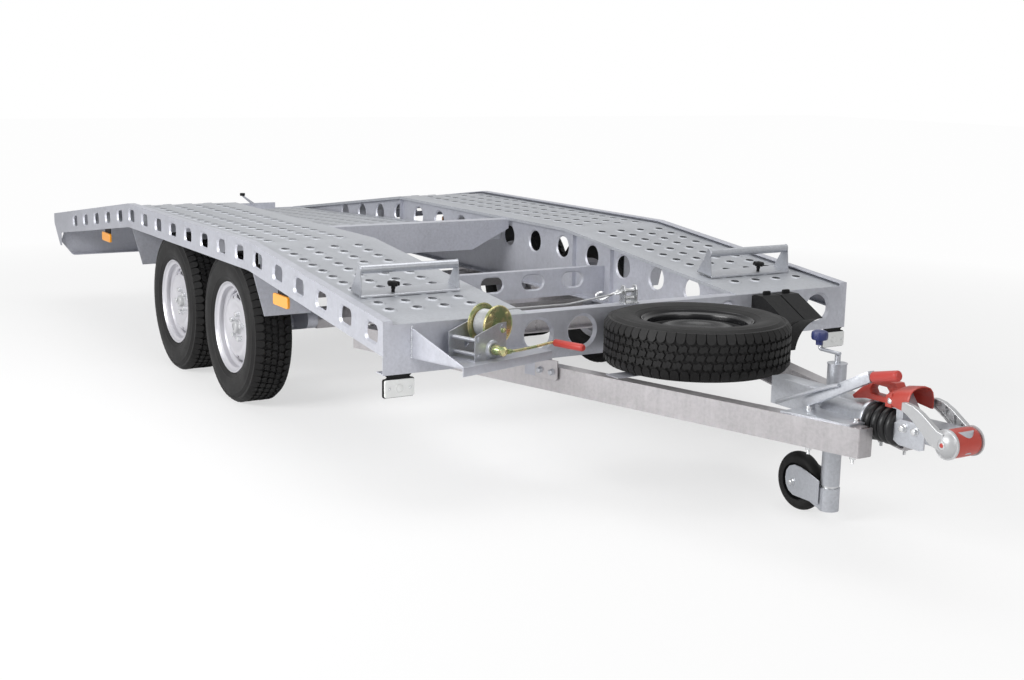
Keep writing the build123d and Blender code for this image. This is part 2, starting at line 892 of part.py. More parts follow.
# Overrun housing: base plate on the beams, domed body, round front flange and tail channel
with BuildPart() as housing:
    with BuildSketch(Plane.XY.offset(beam_bottom)):
        with BuildLine():
            Polyline(
                (front_x + plate_front_x, bar_edge(plate_front_x) - plate_inset),
                (front_x + plate_front_x, plate_inset - bar_edge(plate_front_x)),
                (front_x + plate_rear_x, plate_inset - bar_edge(plate_rear_x)),
                (front_x + plate_rear_x, bar_edge(plate_rear_x) - plate_inset),
                close=True,
            )
        make_face()
        with Locations((front_x + housing_front_x, 0)):
            Rectangle(
                plate_front_x, 2 * bellows_radius + housing_plate, align=(Align.MIN, Align.CENTER), mode=Mode.SUBTRACT
            )
    extrude(amount=housing_plate)
    with BuildSketch(Plane.YZ.offset(front_x + housing_rear_x)):
        with Locations((0, axis_height)):
            RectangleRounded(housing_width, housing_height, housing_width / 3)
    extrude(amount=housing_front_x - housing_rear_x)
    with BuildSketch(Plane.YZ.offset(front_x + housing_front_x - 2 * housing_plate)):
        with Locations((0, axis_height)):
            Circle(bellows_radius + housing_plate / 2)
    extrude(amount=2 * housing_plate)
    with BuildSketch(Plane.YZ.offset(front_x + tail_bracket_x)):
        with Locations((0, tail_bracket_top)):
            Rectangle(tail_bracket_width, bar_depth, align=(Align.CENTER, Align.MAX))
        with Locations((0, tail_bracket_top - bar_wall)):
            Rectangle(
                tail_bracket_width - 2 * bar_wall, bar_depth, align=(Align.CENTER, Align.MAX), mode=Mode.SUBTRACT
            )
    extrude(amount=housing_rear_x - tail_bracket_x)
keep(housing.part, "overrun_housing")

# Bellows of round folds
fold = bellows_length / bellows_folds
with BuildPart() as bellows:
    with BuildSketch(Plane.XZ):
        with BuildLine():
            start = front_x + housing_front_x
            valley = axis_height + bellows_radius - bellows_groove
            Line((start, axis_height), (start, valley))
            for i in range(bellows_folds):
                ThreePointArc(
                    (start + fold * i, valley),
                    (start + fold * (i + 0.5), valley + bellows_groove),
                    (start + fold * (i + 1), valley),
                )
            Line((start + bellows_length, valley), (start + bellows_length, axis_height))
            Line((start + bellows_length, axis_height), (start, axis_height))
        make_face()
    revolve(axis=Axis((0, 0, axis_height), (1, 0, 0)))
keep(bellows.part, "bellows")

# Coupling head: a casting open below, with the ball socket, handle lugs and the two silver arms
head_x = front_x + housing_front_x + bellows_length
ball = front_x + ball_x
head_top = ball_height + ball_radius + socket_roof
head_bottom = ball_height - ball_radius
with BuildPart() as head:
    with BuildSketch(Plane.XZ.offset(-head_half)):
        with BuildLine():
            Polyline(
                (head_x, head_bottom - head_skirt / 2),
                (head_x, head_top - head_skirt),
                (head_x + head_skirt, head_top - head_skirt / 3),
                (ball, head_top),
                (ball, head_bottom),
                (ball - 2 * head_skirt, head_bottom),
                (ball - 5 * head_skirt, head_bottom - head_skirt),
                (head_x + head_skirt, head_bottom - head_skirt),
                close=True,
            )
        make_face()
    extrude(amount=2 * head_half)
    fillet(head.edges().filter_by(Axis.Y).group_by(Axis.Z)[-1], radius=head_round)
    with BuildSketch(Plane.XY.offset(head_bottom)):
        with Locations((ball, 0)):
            Circle(ball_radius + socket_wall)
    extrude(amount=head_top - head_bottom)
    with BuildSketch(Plane.XY.offset(head_bottom - 2 * head_skirt)):
        with Locations((head_x + bar_wall, 0)):
            Rectangle(
                ball_x - ball_radius - socket_wall - housing_front_x - bellows_length - 2 * bar_wall,
                2 * (head_half - bar_wall),
                align=(Align.MIN, Align.CENTER),
            )
    extrude(amount=head_top - head_bottom - bar_wall, mode=Mode.SUBTRACT)
    with BuildSketch(Plane.XY.offset(head_bottom)):
        with Locations((ball, 0)):
            Circle(ball_radius)
    extrude(amount=ball_height - head_bottom, mode=Mode.SUBTRACT)
    with Locations((ball, 0, ball_height)):
        Sphere(ball_radius, mode=Mode.SUBTRACT)
    with BuildSketch(Plane.XZ.offset(-pad_inner_y)):
        with Locations((ball, ball_height)):
            Circle(pad_radius / 2)
    extrude(amount=pad_inner_y - head_half)
    with BuildSketch(Plane.XZ.offset(head_half)):
        with Locations((ball, ball_height)):
            Circle(pad_radius / 2)
    extrude(amount=pad_inner_y - head_half)
    lug_bottom = axis_height + bellows_radius + shaft_gap * 5
    with BuildSketch(Plane.XZ.offset(-lug_half)):
        with BuildLine():
            Polyline(
                (head_x, head_top - head_skirt),
                (head_x, lug_bottom),
                (front_x + pivot_x - lug_width / 2, lug_bottom),
                (front_x + pivot_x - lug_width / 2, pivot_height + lug_width / 2),
                (front_x + pivot_x + lug_width / 2, pivot_height + lug_width / 2),
                (head_x + lug_width, lug_bottom),
                (head_x + lug_width, head_top - head_skirt),
                close=True,
            )
        make_face()
    extrude(amount=2 * lug_half)
    with BuildSketch(Plane.XZ.offset(-hood_half)):
        with Locations((front_x + pivot_x, pivot_height)):
            Circle(pin_radius)
    extrude(amount=2 * hood_half)
keep(head.part, "coupling_head")

# Friction pad caps either side of the ball, and the arms that reach back from them to the handle
with BuildPart() as pads:
    with BuildSketch(Plane(origin=(ball, 0, ball_height), x_dir=(1, 0, 0), z_dir=(0, 0, -1))):
        with BuildLine():
            Polyline((0, pad_inner_y), (pad_radius, pad_inner_y), (pad_radius, pad_inner_y + pad_rim))
            Line((pad_radius, pad_inner_y + pad_rim), (pad_radius - pad_rim, pad_inner_y + pad_rim))
            ThreePointArc(
                (pad_radius - pad_rim, pad_inner_y + pad_rim),
                (0.72 * (pad_radius - pad_rim), pad_inner_y + pad_rim + 0.62 * (pad_dome - pad_rim)),
                (pad_rim, pad_inner_y + pad_dome),
            )
            Polyline((pad_rim, pad_inner_y + pad_dome), (0, pad_inner_y + pad_dome), (0, pad_inner_y))
        make_face()
    revolve(axis=Axis((ball, 0, ball_height), (0, 1, 0)))
    mirror(about=Plane.XZ)
keep(pads.part, "friction_pads")

with BuildPart() as coupling_arms:
    with BuildSketch(Plane.XZ.offset(pad_inner_y + pad_rim)):
        for first, second in ((0, 1), (1, 2)):
            with BuildSketch(mode=Mode.PRIVATE) as link:
                with Locations([(front_x + arm_points[first][0], arm_points[first][1])]):
                    Circle(arm_radius)
                with Locations([(front_x + arm_points[second][0], arm_points[second][1])]):
                    Circle(arm_radius)
                make_hull()
            add(link.sketch)
    extrude(amount=pad_rim)
    mirror(about=Plane.XZ)
    with BuildSketch(Plane.XZ.offset(-pad_inner_y - pad_rim)):
        with Locations((front_x + arm_points[0][0], arm_points[0][1])):
            Circle(pin_radius)
    extrude(amount=2 * (pad_inner_y + pad_rim))
    add(pads.part, mode=Mode.SUBTRACT)
keep(coupling_arms.part, "coupling_arms")

# Red soft dock round the nose between the caps
with BuildPart() as dock:
    with BuildSketch(Plane.XZ.offset(-pad_inner_y + dock_wall / 5)):
        with Locations((ball, ball_height)):
            Circle(dock_radius)
            Rectangle(2 * dock_radius, 2 * dock_radius, align=(Align.MAX, Align.CENTER), mode=Mode.SUBTRACT)
        with Locations((ball, ball_height + dock_radius - dock_wall)):
            Rectangle(2 * dock_radius, dock_wall, align=(Align.CENTER, Align.MIN))
    extrude(amount=2 * (pad_inner_y - dock_wall / 5))
    with BuildSketch(Plane.XY.offset(ball_height - 2 * dock_radius)):
        with Locations((ball, 0)):
            Circle(ball_radius + socket_wall)
    extrude(amount=2 * dock_radius, mode=Mode.SUBTRACT)
    add(head.part, mode=Mode.SUBTRACT)
    add(pads.part, mode=Mode.SUBTRACT)
keep(dock.part, "nose_buffer")

# Red coupling handle: a hood over the head and a loop to pull
with BuildPart() as handle:
    with BuildSketch(Plane.XZ.offset(-grip_half)):
        with BuildLine():
            Polyline(*[(front_x + x, z) for x, z in loop_outline], close=True)
        make_face()
        with BuildLine():
            Polyline(*[(front_x + x, z) for x, z in loop_hole], close=True)
        make_face(mode=Mode.SUBTRACT)
    extrude(amount=2 * grip_half)
    fillet(handle.edges().filter_by(Axis.Y), radius=loop_round)
    with BuildSketch(Plane.XZ.offset(-hood_half)):
        with BuildLine():
            Polyline(*[(front_x + x, z) for x, z in hood_outline], close=True)
        make_face()
    extrude(amount=2 * hood_half)
    with BuildSketch(Plane.XZ.offset(-hood_half + hood_wall)):
        with BuildLine():
            Polyline(*[(front_x + x, z - hood_wall) for x, z in hood_outline[:-2]], close=True)
        make_face()
    extrude(amount=2 * (hood_half - hood_wall), mode=Mode.SUBTRACT)
    add(head.part, mode=Mode.SUBTRACT)
    add(coupling_arms.part, mode=Mode.SUBTRACT)
keep(handle.part, "coupling_handle")

# Handbrake lever: an upturned channel on a bracket, with a round grip
lever_end = (front_x + lever_rise[0], lever_rise[1])
with BuildPart() as lever:
    with BuildSketch(Plane.XZ.offset(lever_y - lever_width / 2)):
        with BuildLine():
            Polyline(
                (front_x + lever_foot[0], lever_foot[1] - lever_depth / 2),
                (front_x + lever_foot[0] - lever_depth / 2, lever_foot[1]),
                (front_x + lever_foot[0], lever_foot[1] + lever_depth / 2),
                (lever_end[0], lever_end[1] + lever_depth / 2),
                (lever_end[0] + lever_depth / 3, lever_end[1] - lever_depth / 3),
                close=True,
            )
        make_face()
    extrude(amount=lever_width)
    with BuildSketch(Plane.XZ.offset(lever_y - lever_width / 2 + lever_wall)):
        with BuildLine():
            Polyline(
                (front_x + lever_foot[0] + lever_depth, lever_foot[1] - lever_depth),
                (front_x + lever_foot[0] + lever_depth, lever_foot[1] + lever_depth * 0.62),
                (lever_end[0] - lever_depth, lever_end[1] + lever_depth * 0.1),
                (lever_end[0] - lever_depth, lever_end[1] - lever_depth),
                close=True,
            )
        make_face()
    extrude(amount=lever_width - 2 * lever_wall, mode=Mode.SUBTRACT)
    with BuildSketch(Plane.XY.offset(beam_bottom + housing_plate)):
        with Locations((front_x + lever_foot[0], -lever_y)):
            Rectangle(lever_depth, lever_width)
    extrude(amount=lever_foot[1] - beam_bottom - housing_plate)
    with BuildLine() as lever_line:
        Line((lever_end[0] - lever_depth / 4, -lever_y, lever_end[1]), (front_x + lever_tip[0] - 2, -lever_y, lever_tip[1]))
    with BuildSketch(Plane(lever_line.line @ 0, z_dir=lever_line.line % 0)):
        Circle(lever_rod)
    sweep()
keep(lever.part, "handbrake_lever")

with BuildPart() as lever_grip:
    with BuildLine() as grip_line:
        Line((lever_end[0] + lever_depth / 3, -lever_y, lever_end[1] + 2), (front_x + lever_tip[0], -lever_y, lever_tip[1]))
    with BuildSketch(Plane(grip_line.line @ 0, z_dir=grip_line.line % 0)):
        Circle(lever_grip_radius)
    sweep()
    fillet(lever_grip.edges().group_by(Axis.X)[-1], radius=lever_grip_radius / 2)
    add(lever.part, mode=Mode.SUBTRACT)
keep(lever_grip.part, "handbrake_grip")

# Jockey wheel: clamp, outer tube, crank, sliding leg, swivelling fork and wheel
jx = front_x + jockey_x
leg_radius = jockey_radius - jockey_wall - leg_gap
sleeve_radius = jockey_radius + 2
with BuildPart() as jockey_tube:
    with BuildSketch(Plane.XY.offset(jockey_bottom)):
        with Locations((jx, jockey_y)):
            Circle(jockey_radius)
            Circle(leg_radius + leg_gap, mode=Mode.SUBTRACT)
    extrude(amount=jockey_top - jockey_bottom)
    with BuildSketch(Plane.XY.offset(jockey_top)):
        with Locations((jx, jockey_y)):
            Circle(sleeve_radius)
    extrude(amount=jockey_wall)
    with BuildSketch(Plane.XY.offset(jockey_top + jockey_wall)):
        with Locations((jx, jockey_y)):
            Circle(neck_radius)
    extrude(amount=neck_height)
keep(jockey_tube.part, "jockey_tube")

clamp_arm = bar_edge(jockey_x) - bar_flange / bar_dir[0] - jockey_y + bar_wall
with BuildPart() as clamp:
    with BuildSketch(Plane.XY.offset(beam_bottom - bar_depth + bar_wall)):
        with Locations((jx, jockey_y)):
            Circle(jockey_radius + clamp_wall)
            Rectangle(clamp_width, clamp_arm + bar_flange / 2, align=(Align.CENTER, Align.MIN))
            Circle(jockey_radius, mode=Mode.SUBTRACT)
    extrude(amount=bar_depth - 2 * bar_wall)
    add(mirror(drawbar.part, about=Plane.XZ), mode=Mode.SUBTRACT)
keep(clamp.part, "jockey_clamp")

crank_z = jockey_top + jockey_wall + neck_height
with BuildPart() as crank:
    with BuildLine() as crank_line:
        FilletPolyline(
            (jx + neck_radius, jockey_y, crank_z + crank_rod),
            (jx - jockey_crank_reach, jockey_y, crank_z + crank_rod),
            (jx - jockey_crank_reach - crank_rod, jockey_y, crank_z + 4 * crank_rod),
            radius=crank_rod * 1.5,
        )
    with BuildSketch(Plane(crank_line.line @ 0, z_dir=crank_line.line % 0)):
        Circle(crank_rod)
    sweep()
    with BuildSketch(Plane.XY.offset(crank_z + 4 * crank_rod)):
        with Locations((jx - jockey_crank_reach - crank_rod, jockey_y)):
            Circle(knob_stem)
    extrude(amount=knob_height / 2)
    with BuildSketch(Plane.XY.offset(crank_z + 4 * crank_rod + knob_height / 2)):
        with Locations((jx - jockey_crank_reach - crank_rod, jockey_y)):
            Circle(knob_radius)
    extrude(amount=knob_height)
    fillet(crank.edges().group_by(Axis.Z)[-1], radius=knob_height / 3)
keep(crank.part, "jockey_crank")

with BuildPart() as leg:
    with BuildSketch(Plane.XY.offset(jockey_bottom - leg_foot)):
        with Locations((jx, jockey_y)):
            Circle(leg_radius)
    extrude(amount=leg_travel + leg_overlap)
keep(leg.part, "jockey_leg")

fork_top = jockey_bottom - leg_foot - stub_gap
wheel_x = jx - jockey_trail
arm_offset = jockey_wheel_width / 2 + fork_gap
with BuildPart() as fork:
    with BuildSketch(Plane.XY.offset(fork_top - fork_height)):
        with Locations((jx, jockey_y)):
            Circle(sleeve_radius)
    extrude(amount=fork_height)
    for y in (arm_offset, -arm_offset - fork_wall):
        with BuildSketch(Plane.XZ.offset(-jockey_y - y)) as arm:
            with BuildLine():
                Polyline(
                    (jx, fork_top - fork_wall),
                    (jx, fork_top - fork_height),
                    (wheel_x, jockey_wheel_radius - fork_eye),
                    (wheel_x, jockey_wheel_radius + fork_eye),
                    close=True,
                )
            make_face()
            with Locations((wheel_x, jockey_wheel_radius)):
                Circle(fork_eye)
        extrude(amount=-fork_wall)
    with BuildSketch(Plane.XZ.offset(-jockey_y - arm_offset - fork_wall)):
        with Locations((wheel_x, jockey_wheel_radius)):
            Circle(jockey_axle)
    extrude(amount=2 * (arm_offset + fork_wall))
keep(fork.part, "jockey_fork")

jockey_seat = jockey_wheel_radius - jockey_tyre_depth
half = jockey_wheel_width / 2
jockey_section = Plane(origin=(wheel_x, jockey_y, jockey_wheel_radius), x_dir=(1, 0, 0), z_dir=(0, 0, -1))
jockey_axis = Axis((wheel_x, 0, jockey_wheel_radius), (0, 1, 0))
with BuildPart() as jockey_tyre:
    with BuildSketch(jockey_section):
        with BuildLine():
            Line((jockey_seat, -half), (jockey_seat + jockey_tyre_depth / 3, -half))
            ThreePointArc(
                (jockey_seat + jockey_tyre_depth / 3, -half),
                (jockey_wheel_radius, 0),
                (jockey_seat + jockey_tyre_depth / 3, half),
            )
            Line((jockey_seat + jockey_tyre_depth / 3, half), (jockey_seat, half))
            Line((jockey_seat, half), (jockey_seat, -half))
        make_face()
    revolve(axis=jockey_axis)
keep(jockey_tyre.part, "jockey_tyre")

with BuildPart() as jockey_rim:
    with BuildSketch(jockey_section):
        with BuildLine():
            Polyline(
                (jockey_seat, -half),
                (jockey_seat, half),
                (jockey_seat - fork_wall, half),
                (jockey_seat - 2 * fork_wall, fork_wall),
                (fork_eye + fork_wall, fork_wall),
                (fork_eye, half),
                (jockey_axle + stub_gap, half),
                (jockey_axle + stub_gap, -half),
                (fork_eye, -half),
                (fork_eye + fork_wall, -fork_wall),
                (jockey_seat - 2 * fork_wall, -fork_wall),
                (jockey_seat - fork_wall, -half),
                close=True,
            )
        make_face()
    revolve(axis=jockey_axis)
keep(jockey_rim.part, "jockey_rim")

# Winch tray and winch, drawn along the right-hand drawbar beam
forward = (bar_dir[0], bar_dir[1], 0)
across = (-bar_dir[1], bar_dir[0], 0)
bar_outer = -bar_edge(0) * bar_dir[0]


def winch_plane(place):
    """Plane square to the winch axis: local x is across to the left, local y is up."""
    origin = (front_x + forward[0] * place, forward[1] * place, 0)
    return Plane(origin=origin, x_dir=across, z_dir=forward)


def winch_flat(z):
    """Level plane at z whose local x runs forward along the winch axis."""
    return Plane(origin=(front_x, 0, z), x_dir=forward, z_dir=(0, 0, 1))


def winch_side(place):
    """Upright plane along the winch axis: local x is forward, and it grows to the right."""
    origin = (front_x + across[0] * place, across[1] * place, 0)
    return Plane(origin=origin, x_dir=forward, z_dir=(-across[0], -across[1], 0))


tray_reach = -tray_right_edge * slope - tray_front + beam_flange
with BuildPart() as winch_tray:
    with BuildSketch(winch_flat(tray_height - sheet)):
        with Locations((tray_front, tray_right_edge)):
            Rectangle(tray_reach, bar_outer - tray_right_edge, align=(Align.MAX, Align.MIN))
    extrude(amount=sheet)
    with BuildSketch(winch_plane(tray_front)):
        with Locations((tray_right_edge, tray_height)):
            Rectangle(bar_outer - tray_right_edge, tray_lip, align=(Align.MIN, Align.MAX))
    extrude(amount=-sheet)
    with BuildSketch(winch_side(bar_outer)):
        with Locations((tray_front, tray_height)):
            Rectangle(tray_reach, tray_height - beam_bottom + bar_depth / 2, align=(Align.MAX, Align.MAX))
    extrude(amount=sheet)
    with BuildSketch(winch_side(tray_right_edge + sheet)):
        with BuildLine():
            Polyline(
                (tray_front, tray_height - sheet),
                (tray_front, tray_height + sheet),
                (tray_right_edge * -slope + tray_front - tray_reach, tray_height + gusset_rise * 1.2),
                (tray_right_edge * -slope + tray_front - tray_reach, tray_height - sheet),
                close=True,
            )
        make_face()
    extrude(amount=sheet)
    with BuildSketch(Plane.XY.offset(beam_bottom - bar_depth)):
        with Locations((front_x, 0)):
            Rectangle(deck_length, 2 * deck_width, align=(Align.MAX, Align.CENTER))
    extrude(amount=tray_height, mode=Mode.SUBTRACT)
keep(winch_tray.part, "winch_tray")

drum_across = hub_across + gear_centres * cos(radians(drum_angle))
drum_height = hub_height + gear_centres * sin(radians(drum_angle))
plate_left = hub_across - winch_left
plate_right = hub_across + winch_right
with BuildPart() as winch_frame:
    for place in (winch_front, winch_front - winch_depth + winch_plate):
        with BuildSketch(winch_plane(place)):
            with BuildLine():
                Polyline(
                    (plate_left, tray_height),
                    (plate_left, hub_height + winch_shoulder[0]),
                    (drum_across - 2 * shaft_radius, drum_height + winch_shoulder[1]),
                    (drum_across + 2 * shaft_radius, drum_height + winch_shoulder[1]),
                    (plate_right, hub_height),
                    (plate_right, tray_height),
                    close=True,
                )
            make_face()
            with Locations((hub_across, hub_height)):
                Circle(shaft_radius + shaft_gap, mode=Mode.SUBTRACT)
        extrude(amount=-winch_plate)
    with BuildSketch(winch_flat(tray_height)):
        with Locations((winch_front, plate_left)):
            Rectangle(winch_depth, plate_right - plate_left, align=(Align.MAX, Align.MIN))
    extrude(amount=winch_plate)
    with BuildSketch(winch_plane(winch_front + winch_plate)):
        with Locations((plate_left + 2 * shaft_radius, hub_height + winch_shoulder[0] - 2 * shaft_radius)):
            Circle(tie_rod)
        with Locations((plate_left + 2 * shaft_radius + tie_rod, tray_height + 2 * shaft_radius)):
            Circle(tie_rod)
        with Locations((drum_across, drum_height)):
            Circle(shaft_radius)
    extrude(amount=-winch_depth - winch_plate)
keep(winch_frame.part, "winch_frame")

drum_front = winch_front - drum_front_gap
with BuildPart() as winch_drum:
    with BuildSketch(winch_plane(drum_front)):
        with Locations((drum_across, drum_height)):
            Circle(drum_core_radius)
    extrude(amount=-drum_width_inside)
    for place in (drum_front, drum_front - drum_width_inside + drum_flange):
        with BuildSketch(winch_plane(place)):
            with Locations((drum_across, drum_height)):
                Circle(drum_flange_radius)
        extrude(amount=-drum_flange)
    with BuildSketch(winch_plane(drum_front + drum_flange + shaft_gap)):
        with Locations((drum_across, drum_height)):
            Circle(gear_centres - pinion_radius - running_gap / 3)
    extrude(amount=-drum_flange - shaft_gap)
    with BuildSketch(winch_plane(winch_front)):
        with Locations((drum_across, drum_height)):
            Circle(shaft_radius + shaft_gap)
    extrude(amount=-winch_depth, mode=Mode.SUBTRACT)
keep(winch_drum.part, "winch_drum")

crank_place = winch_front + crank_ahead
with BuildPart() as winch_crank:
    with BuildSketch(winch_plane(crank_place)):
        with Locations((hub_across, hub_height)):
            Circle(shaft_radius)
    extrude(amount=-(crank_ahead + winch_depth))
    with BuildSketch(winch_plane(winch_front + running_gap)):
        with Locations((hub_across, hub_height)):
            Circle(pinion_radius)
    extrude(amount=crank_ahead - running_gap)
    with BuildSketch(winch_plane(drum_front + drum_flange)):
        with Locations((hub_across, hub_height)):
            Circle(pinion_radius)
    extrude(amount=-2 * drum_flange)
    with BuildSketch(winch_plane(crank_place)):
        with Locations((hub_across, hub_height)):
            Circle(pinion_radius)
        with Locations((hub_across + crank_arm, hub_height)):
            Circle(shaft_radius)
        make_hull()
    extrude(amount=-crank_thickness)
keep(winch_crank.part, "winch_crank")

with BuildPart() as winch_grip:
    with BuildSketch(winch_plane(crank_place)):
        with Locations((hub_across + crank_arm, hub_height)):
            Circle(grip_radius)
    extrude(amount=grip_length)
    fillet(winch_grip.edges().sort_by(Axis((front_x, 0, 0), forward))[-1], radius=grip_radius / 3)
keep(winch_grip.part, "winch_grip")

# Winch rope, drawn tight from the drum to its guide block
rope_middle = drum_front - drum_width_inside / 2
rope_start = winch_plane(rope_middle).from_local_coords(
    (drum_across, drum_height + drum_core_radius + rope_radius + shaft_gap)
)
rope_end = (front_x - guide_x, guide_y - guide_size[1] / 2 - 2 * stub_gap, beam_top + guide_size[2] * 0.6)
rope_points = [
    (rope_start.X, rope_start.Y, rope_start.Z),
    (front_x + rope_bend[0], rope_bend[1], rope_bend[2]),
    rope_end,
]
with BuildPart() as winch_rope:
    with BuildLine() as rope_line:
        FilletPolyline(*rope_points, radius=rope_arc)
    with BuildSketch(Plane(rope_line.line @ 0, z_dir=rope_line.line % 0)):
        Circle(rope_radius)
    sweep()
keep(winch_rope.part, "winch_rope")
rope_length = sum(edge.length for edge in rope_line.edges())
print("rope volume", winch_rope.part.volume, "section times length", pi * rope_radius**2 * rope_length)
print("rope length", rope_length, "arc radius", rope_arc)

# Spare wheel, flat on a bar across the drawbar and held by a rod
spare_bottom = beam_bottom + spare_lift
spare_middle = spare_bottom + tyre_width / 2 + tyre_gap
spare_plane = Plane(origin=(front_x + spare_x, 0, spare_middle), x_dir=(1, 0, 0), z_dir=(0, -1, 0))
spare_axis = Axis((front_x + spare_x, 0, 0), (0, 0, 1))
with BuildPart() as spare_tyre:
    add(tyre_section(spare_plane, wheel_radius, rim_radius + tyre_gap, rim_edge + tyre_gap, tyre_width, rim_half - rim_wall))
    revolve(axis=spare_axis)
keep(spare_tyre.part, "spare_tyre")

with BuildPart() as spare_rim:
    add(rim_section(spare_plane, (disc_edge - spare_dish, disc_dome - spare_dish, disc_face - spare_dish)))
    revolve(axis=spare_axis)
    with BuildSketch(Plane.XY.offset(spare_middle - rim_half / 2)):
        with Locations((front_x + spare_x, 0)):
            disc_windows(0)
    extrude(amount=rim_half, mode=Mode.SUBTRACT)
keep(spare_rim.part, "spare_rim")

clamp_z = spare_middle + disc_face - spare_dish
with BuildPart() as carrier:
    with BuildSketch(Plane.XY.offset(beam_bottom)):
        with Locations((front_x + spare_x, 0)):
            Rectangle(spare_bar_width, 2 * (bar_edge(spare_x) - bar_flange / 2))
    extrude(amount=spare_lift)
    with BuildSketch(Plane.XY.offset(beam_bottom)):
        with Locations((front_x + spare_x, 0)):
            Circle(spare_nut_radius / 2)
    extrude(amount=clamp_z - beam_bottom + 2 * spare_nut_radius)
    with BuildSketch(Plane.XY.offset(clamp_z)):
        with Locations((front_x + spare_x, 0)):
            Circle(hub_radius + spare_nut_radius)
    extrude(amount=sheet)
    with BuildSketch(Plane.XY.offset(clamp_z + sheet)):
        with Locations((front_x + spare_x, 0)):
            RegularPolygon(spare_nut_radius, 6)
    extrude(amount=spare_nut_radius)
keep(carrier.part, "spare_carrier")

# Wheel stops on the front slopes: a raised plate, a round bar and two end plates
with BuildPart() as wheel_stops:
    stop_end = stop_front + stop_length
    bar_place = stop_front + stop_bar_back
    bar_z = deck_top(bar_place) + stop_tube_lift
    top_drop = deck_drop - stop_lift
    with BuildSketch(rail_plane(-stop_inner - stop_width)):
        with BuildLine():
            Polyline(*band(stop_front, stop_end, top_drop, top_drop + sheet), close=True)
        make_face()
        for x in (stop_front, stop_end - sheet):
            with BuildLine():
                Polyline(*band(x, x + sheet, top_drop, deck_drop), close=True)
            make_face()
    extrude(amount=stop_width)
    with BuildSketch(rail_plane(-stop_inner - stop_width)):
        with Locations((bar_place, bar_z)):
            Circle(stop_tube_radius)
    extrude(amount=stop_width)
    for y in (-stop_inner - stop_width, -stop_inner - sheet):
        with BuildSketch(rail_plane(y)):
            with BuildLine():
                Polyline(
                    (bar_place - stop_tube_radius, deck_top(bar_place - stop_tube_radius) - top_drop - sheet),
                    (bar_place - stop_tube_radius, bar_z + stop_tube_radius),
                    (bar_place + stop_tube_radius, bar_z + stop_tube_radius),
                    (bar_place + stop_plate_foot, deck_top(bar_place + stop_plate_foot) - top_drop - sheet),
                    close=True,
                )
            make_face()
        extrude(amount=sheet)
    mirror(about=Plane.XZ)
keep(wheel_stops.part, "wheel_stops")

# Mudguard plates ahead of the front wheels and behind the rear ones
guard_outer = half_width - 2 * sheet
with BuildPart() as mudguards:
    for x in (axle_places[0] - wheel_radius - guard_clear, axle_places[1] + wheel_radius + guard_clear):
        with BuildSketch(rear_facing(x)):
            with BuildLine():
                top = deck_top(x) - rail_depth
                Polyline(
                    (half_width - sheet, top),
                    (guard_outer - guard_taper, guard_bottom),
                    (guard_outer - guard_width, guard_bottom),
                    (guard_outer - guard_width, deck_top(x) - web_drop),
                    (half_width - rail_flange, deck_top(x) - web_drop),
                    (half_width - rail_flange, top),
                    close=True,
                )
            make_face()
        extrude(amount=sheet)
    mirror(about=Plane.XZ)
keep(mudguards.part, "mudguards")

# Wheel chocks on their holder at the left of the front beam
with BuildPart() as chock_holder_plate:
    with BuildSketch(Plane.YZ.offset(front_x)):
        with Locations((chock_across, chock_top - chock_holder / 2)):
            Rectangle(2 * chock_width + chock_gap, chock_holder_height, align=(Align.MIN, Align.MAX))
    extrude(amount=chock_holder)
keep(chock_holder_plate.part, "chock_holder")

with BuildPart() as chocks:
    for y in (chock_across, chock_across + chock_width + chock_gap):
        with BuildSketch(Plane.XZ.offset(-y - chock_width)):
            with BuildLine():
                Polyline(
                    (front_x + chock_holder, chock_top - chock_height),
                    (front_x + chock_holder, chock_top),
                    (front_x + chock_holder + chock_heel, chock_top),
                    (front_x + chock_holder + chock_length, chock_top - chock_height / 3),
                )
                ThreePointArc(
                    (front_x + chock_holder + chock_length, chock_top - chock_height / 3),
                    (front_x + chock_holder + chock_length * 0.5, chock_top - chock_height * 0.58),
                    (front_x + chock_holder + chock_heel, chock_top - chock_height),
                )
                Line(
                    (front_x + chock_holder + chock_heel, chock_top - chock_height),
                    (front_x + chock_holder, chock_top - chock_height),
                )
            make_face()
        extrude(amount=chock_width)
keep(chocks.part, "wheel_chocks")

# Lamps: white markers under the front beam and amber ones under the rails, on black brackets
lamp_y = half_width - lamp_inset
with BuildPart() as front_lamps:
    with BuildSketch(Plane.YZ.offset(front_x - lamp_size[2] / 2)):
        with Locations((-lamp_y, lamp_height)):
            RectangleRounded(lamp_size[0], lamp_size[1], lamp_size[1] / 9)
    extrude(amount=lamp_size[2])
    mirror(about=Plane.XZ)
keep(front_lamps.part, "front_lamps")

side_lamp_y = half_width - side_lamp_size[2] + sheet
with BuildPart() as side_lamps:
    for x in side_lamp_places:
        with BuildSketch(Plane.XZ.offset(side_lamp_y)):
            with Locations((front_x - x, deck_top(x) - rail_depth - side_lamp_hang)):
                RectangleRounded(
                    side_lamp_size[0], side_lamp_size[1], side_lamp_size[1] / 4, align=(Align.CENTER, Align.MAX)
                )
        extrude(amount=side_lamp_size[2])
    mirror(about=Plane.XZ)
keep(side_lamps.part, "side_lamps")

